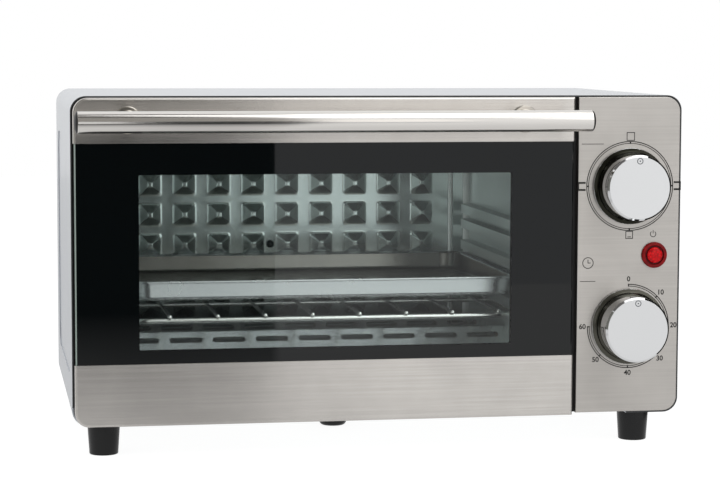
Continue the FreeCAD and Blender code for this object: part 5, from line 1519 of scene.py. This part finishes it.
@dataclass
class BakingTray:
    """The shallow drawn tray: a rolled bead, a flat rim and drafted walls with soft corners."""

    corner: float = 16.0
    least_corner: float = 6.0
    corner_share: float = 0.75
    rim: float = 4.0
    rim_drop: float = 0.5
    draft: float = 1.4
    floor_start: float = 6.0
    bead: float = 0.8
    bead_inset: float = 1.4
    bead_steps: int = 14
    sheet: float = 0.6
    floor_slope: float = 0.95

    def loop(self, low: Vector, high: Vector, inset: float, z: float) -> list[Vector]:
        """Return the tray's outline pulled in by an inset at a height."""
        corner = max(self.least_corner, self.corner - self.corner_share * inset)
        return level(rectangle(low.x + inset, high.x - inset, low.y + inset, high.y - inset, corner, 10), z)

    def build(self) -> None:
        """Draw the tray as one closed sheet."""
        low, high = millimetres("baking_tray")
        floor, sheet = low.z, self.sheet
        over_rim = high.z - self.rim_drop
        wall = self.rim + self.draft
        start = wall + self.floor_start
        upper = rounded_path([(self.bead_inset, over_rim, 0), (self.rim, over_rim, 1.2),
                              (wall, floor + sheet, 2.4), (start, floor + sheet, 0)])
        lower = rounded_path([(start, floor, 0), (wall - 0.3, floor, 3.0),
                              (self.rim - 0.7, over_rim - sheet, 0.6),
                              (self.bead_inset, over_rim - sheet, 0)])
        bead = [(max(0.0, self.bead + self.bead * math.cos(a)), high.z - self.bead + self.bead * math.sin(a))
                for a in (math.radians(30 + 300 * i / self.bead_steps) for i in range(self.bead_steps + 1))]
        bm = bmesh.new()
        for profile, ends in ((upper, Ends.LAST), (lower, Ends.FIRST),
                              (upper[:1] + bead + lower[-1:], Ends.OPEN)):
            stack(bm, [self.loop(low, high, inset, z) for inset, z in profile], ends)
        mesh = mesh_of(bm)
        over = (low + high) / 2 + Vector((0, 0, 100))
        for face in mesh.polygons:
            place = face.center / MM
            from_edge = min(place.x - low.x, high.x - place.x, place.y - low.y, high.y - place.y)
            is_inside = from_edge > self.rim and face.normal.dot(over - place) > 0
            is_floor = face.normal.z > self.floor_slope
            face.material_index = 0 if not is_inside else 2 if is_floor else 1
        piece("drawn_tray", weighted(mesh), "sliding_tray", "tray_sheet", TRAY_SHEET, TRAY_INSIDE_PAINTED_SHADE,
              TRAY_FLOOR, stands_for=("baking_tray",))


@dataclass
class WireRack:
    """The cooking rack: a rod bent round four corners, a cross rod, and long wires welded over them."""

    rod: float = 1.6
    cross_rod: float = 1.3
    wire: float = 1.1
    weld: float = 1.375
    corner: float = 16.0
    wires: int = 8
    pitch: float = 28.3
    shift: float = 6.3
    overhang: float = 1.2

    def build(self) -> None:
        """Bend the frame and lay the wires over it."""
        low, high = millimetres("wire_rack")
        x0, x1 = low.x + self.rod, high.x - self.rod
        y0, y1 = low.y + self.weld + self.overhang, high.y - self.overhang
        z = low.z + self.rod
        bm = bmesh.new()
        swept(bm, level(rectangle(x0, x1, y0, y1, self.corner, 10), z), self.rod * MM)
        turned(bm, [(0, 0), (self.cross_rod, 0), (self.cross_rod, x1 - x0), (0, x1 - x0)],
               facing((1, 0, 0), x0, (y0 + y1) / 2, z), 16)
        rods = mesh_of(bm)
        length = high.y - y0 + self.overhang
        profile = rounded_path([(0, 0, 0), (self.wire, 0, 0.9), (self.wire, length - 1.1, 0.3),
                                (self.weld, length - 0.7, 0.5), (self.weld, length + 1.1, 0.9),
                                (0, length + self.weld, 0)], 4)
        first = (x0 + x1) / 2 + self.shift - (self.wires - 1) / 2 * self.pitch
        bm = bmesh.new()
        turned(bm, profile, facing((0, -1, 0), first, high.y, high.z - self.weld), 14)
        rack = grown(repeated_tree(), {
            "Tile": shape_object("wire", mesh_of(bm)), "Columns": self.wires, "Rows": 1,
            "Column Step": (self.pitch * MM, 0, 0), "Row Step": (0, 0, 0),
            "Material": CHROMED_WIRE.material()}, rods)
        piece("welded_rack", rack, "sliding_rack", "chromed_wire", CHROMED_WIRE, stands_for=("wire_rack",))


@dataclass
class Fixings:
    """Plated screws of one kind, with a low domed head and a driver's recess, set where a node has them."""

    node: str
    body: str
    way: tuple[int, int, int]
    shank: float
    rise: float
    bars: int = 2
    crown: float = 0.5
    bar: float = 0.8
    bar_share: float = 0.62
    deep: float = 0.8
    finish: Finish = ZINC_PLATE

    def build(self) -> None:
        """Turn one screw, cut its recess and set it on each place."""
        boxes = solids(self.node)
        axis = [abs(share) for share in self.way].index(1)
        size = boxes[0][1] - boxes[0][0]
        length = size[axis]
        head = max(size[i] for i in range(3) if i != axis) / 2
        place = facing(self.way, 0, 0, 0)
        profile = rounded_path([(0, -length, 0), (self.shank, -length, 0.4), (self.shank, -self.rise, 0),
                                (head, -self.rise, 0.2), (head, -self.crown, 0.35), (0, 0, 0)], 4)
        bm = bmesh.new()
        turned(bm, profile, place, 40)
        screw = mesh_of(bm)
        long, thin = self.bar_share * head, self.bar / 2
        for half_x, half_y in ((thin, long), (long, thin))[:self.bars]:
            outline = rectangle(-half_x, half_x, -half_y, half_y)
            cutter = bmesh.new()
            stack(cutter, [[place @ point for point in level(outline, z)] for z in (-self.deep, self.rise)])
            screw = finished(screw, "BOOLEAN", {"operation": "DIFFERENCE", "solver": "EXACT",
                                                "object": shape_object("recess", mesh_of(cutter))})
        spots = []
        for low, high in boxes:
            spot = (low + high) / 2
            spot[axis] = (high if self.way[axis] > 0 else low)[axis]
            spots.append(spot * MM)
        places = bpy.data.meshes.new("places")
        places.from_pydata(spots, [], [])
        shape = grown(on_places_tree(), {"Fixing": shape_object("screw", screw),
                                         "Material": self.finish.material()}, places)
        piece(self.node + "_driven", shape, self.body, "plated_fixings", self.finish,
              stands_for=(self.node,))


@dataclass
class Foot:
    """A moulded foot with a rounded lower edge and a bore for its screw."""

    node: str
    radius: float = 9.5
    taper: float = 1.15
    edge: float = 0.6
    bore: tuple[float, float, float] = (3.9, 4.3, 9.0)
    bore_edge: float = 0.5
    top_edge: float = 0.1

    def build(self) -> None:
        """Turn the foot in the place of its node."""
        low, high = millimetres(self.node)
        middle, tall = (low + high) / 2, high.z - low.z
        inner, mouth, deep = self.bore
        profile = rounded_path([
            (0, deep, 0), (inner, deep, self.bore_edge), (mouth, 0, self.bore_edge),
            (self.radius - self.taper, 0, self.edge), (self.radius, tall, self.top_edge), (0, tall, 0)])
        bm = bmesh.new()
        turned(bm, profile, facing((0, 0, 1), middle.x, middle.y, low.z), 72)
        piece(self.node + "_moulding", mesh_of(bm), "oven_body", "black_plastic", FOOT_PLASTIC,
              stands_for=(self.node,))


@dataclass
class Casing:
    """The wrapped outer sheet, the rear cover and the front frame, with their cut edges broken."""

    edge: float = 0.15
    # painted: the width of the black painted shade along the frame's outer edge.
    painted: float = 5.0
    front_edge: float = 0.5
    front_slope: float = 0.7
    inner_slope: float = 0.3

    def build(self) -> None:
        """Build the shell, the rear cover and the front frame."""
        self.shell()
        piece("rear_cover_sheet", softened("rear_cover", self.edge), "oven_body", "galvanised_sheet",
              GALVANISED, stands_for=("rear_cover",))
        self.frame()

    def shell(self) -> None:
        """Wrap the outer sheet, with painted shade in a dark primer colour on its inner faces and its front
        edge, which darkens the gap round the door.
        """
        shell = softened("outer_casing", self.edge)
        low, high = millimetres("outer_casing")
        middle, half = (low + high) / 2, (high - low) / 2
        for face in shell.polygons:
            place = face.center / MM - middle
            on_side = abs(place.x) / half.x > abs(place.z) / half.z
            across, normal = (place.x, face.normal.x) if on_side else (place.z, face.normal.z)
            is_inside = normal * across < -self.inner_slope * abs(across)
            at_front = face.center.y / MM < low.y + self.front_edge
            is_shaded_cut_edge = at_front and face.normal.y < -self.front_slope
            face.material_index = int(is_inside or is_shaded_cut_edge)
        piece("casing_shell", shell, "oven_body", "casing_paint", CASING, CASING_PAINTED_SHADE,
              stands_for=("outer_casing",))

    def frame(self) -> None:
        """Fold the sheet round the cavity's mouth, with painted shade in black along its outer edge, where
        the gap round the door lies.
        """
        low, high = millimetres("front_frame")
        x0, x1 = low.x + self.painted, high.x - self.painted
        z0, z1 = low.z + self.painted, high.z - self.painted
        bm = bmesh.new()
        bm.from_mesh(softened("front_frame", self.edge))
        for line, across in ((x0, (1, 0, 0)), (x1, (1, 0, 0)), (z0, (0, 0, 1)), (z1, (0, 0, 1))):
            bmesh.ops.bisect_plane(bm, geom=bm.verts[:] + bm.edges[:] + bm.faces[:],
                                   plane_co=Vector(across) * line * MM, plane_no=across)
        mesh = weighted(mesh_of(bm))
        for face in mesh.polygons:
            # Faces within that margin of the outer edge take the black finish as painted shade of the gap
            # round the door.
            x, z = face.center.x / MM, face.center.z / MM
            face.material_index = int(not (x0 < x < x1 and z0 < z < z1))
        piece("mouth_frame", mesh, "oven_body", "galvanised_sheet", GALVANISED, BLACKENED,
              stands_for=("front_frame",))


class Oven:
    """The whole oven: its pieces in the order that they are dressed and built."""

    def dress(self) -> None:
        """Give every construction node the finish of its material slot."""
        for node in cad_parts.values():
            for slot in node.material_slots:
                slot.material = FINISH_OF_SLOT[slot.material.name.split(".")[0]].material()

    def build(self) -> None:
        """Dress the nodes and build the pieces that stand for or finish them."""
        self.dress()
        for part in (
                Casing(), Door(), ControlPanel(), Knob("function_knob", "function_control"),
                Knob("timer_knob", "timer_control", TIMER_COVE_PAINTED_GREY_REFLECTION), Cavity(), BakingTray(), WireRack(),
                Fixings("rear_cover_screws", "oven_body", (0, 1, 0), 1.5, 1.5),
                Fixings("casing_screws", "oven_body", (0, 0, -1), 1.5, 1.4, bars=1),
                Fixings("back_wall_screw", "oven_body", (0, -1, 0), 1.5, 1.3, crown=0.9, bar=0.9,
                        finish=BLACK_ZINC),
                Fixings("handle_screws", "door", (0, 1, 0), 2.0, 2.4, bars=1),
                Foot("front_left_foot"), Foot("front_right_foot"), Foot("rear_left_foot"),
                Foot("rear_right_foot"), Foot("centre_foot", 8.9975, taper=0.6, edge=2.6)):
            part.build()


def main() -> None:
    """Build the studio and the oven."""
    logging.basicConfig(level=logging.INFO, format="%(name)s %(message)s")
    Studio().build()
    Oven().build()


if __name__ == "__main__":
    main()
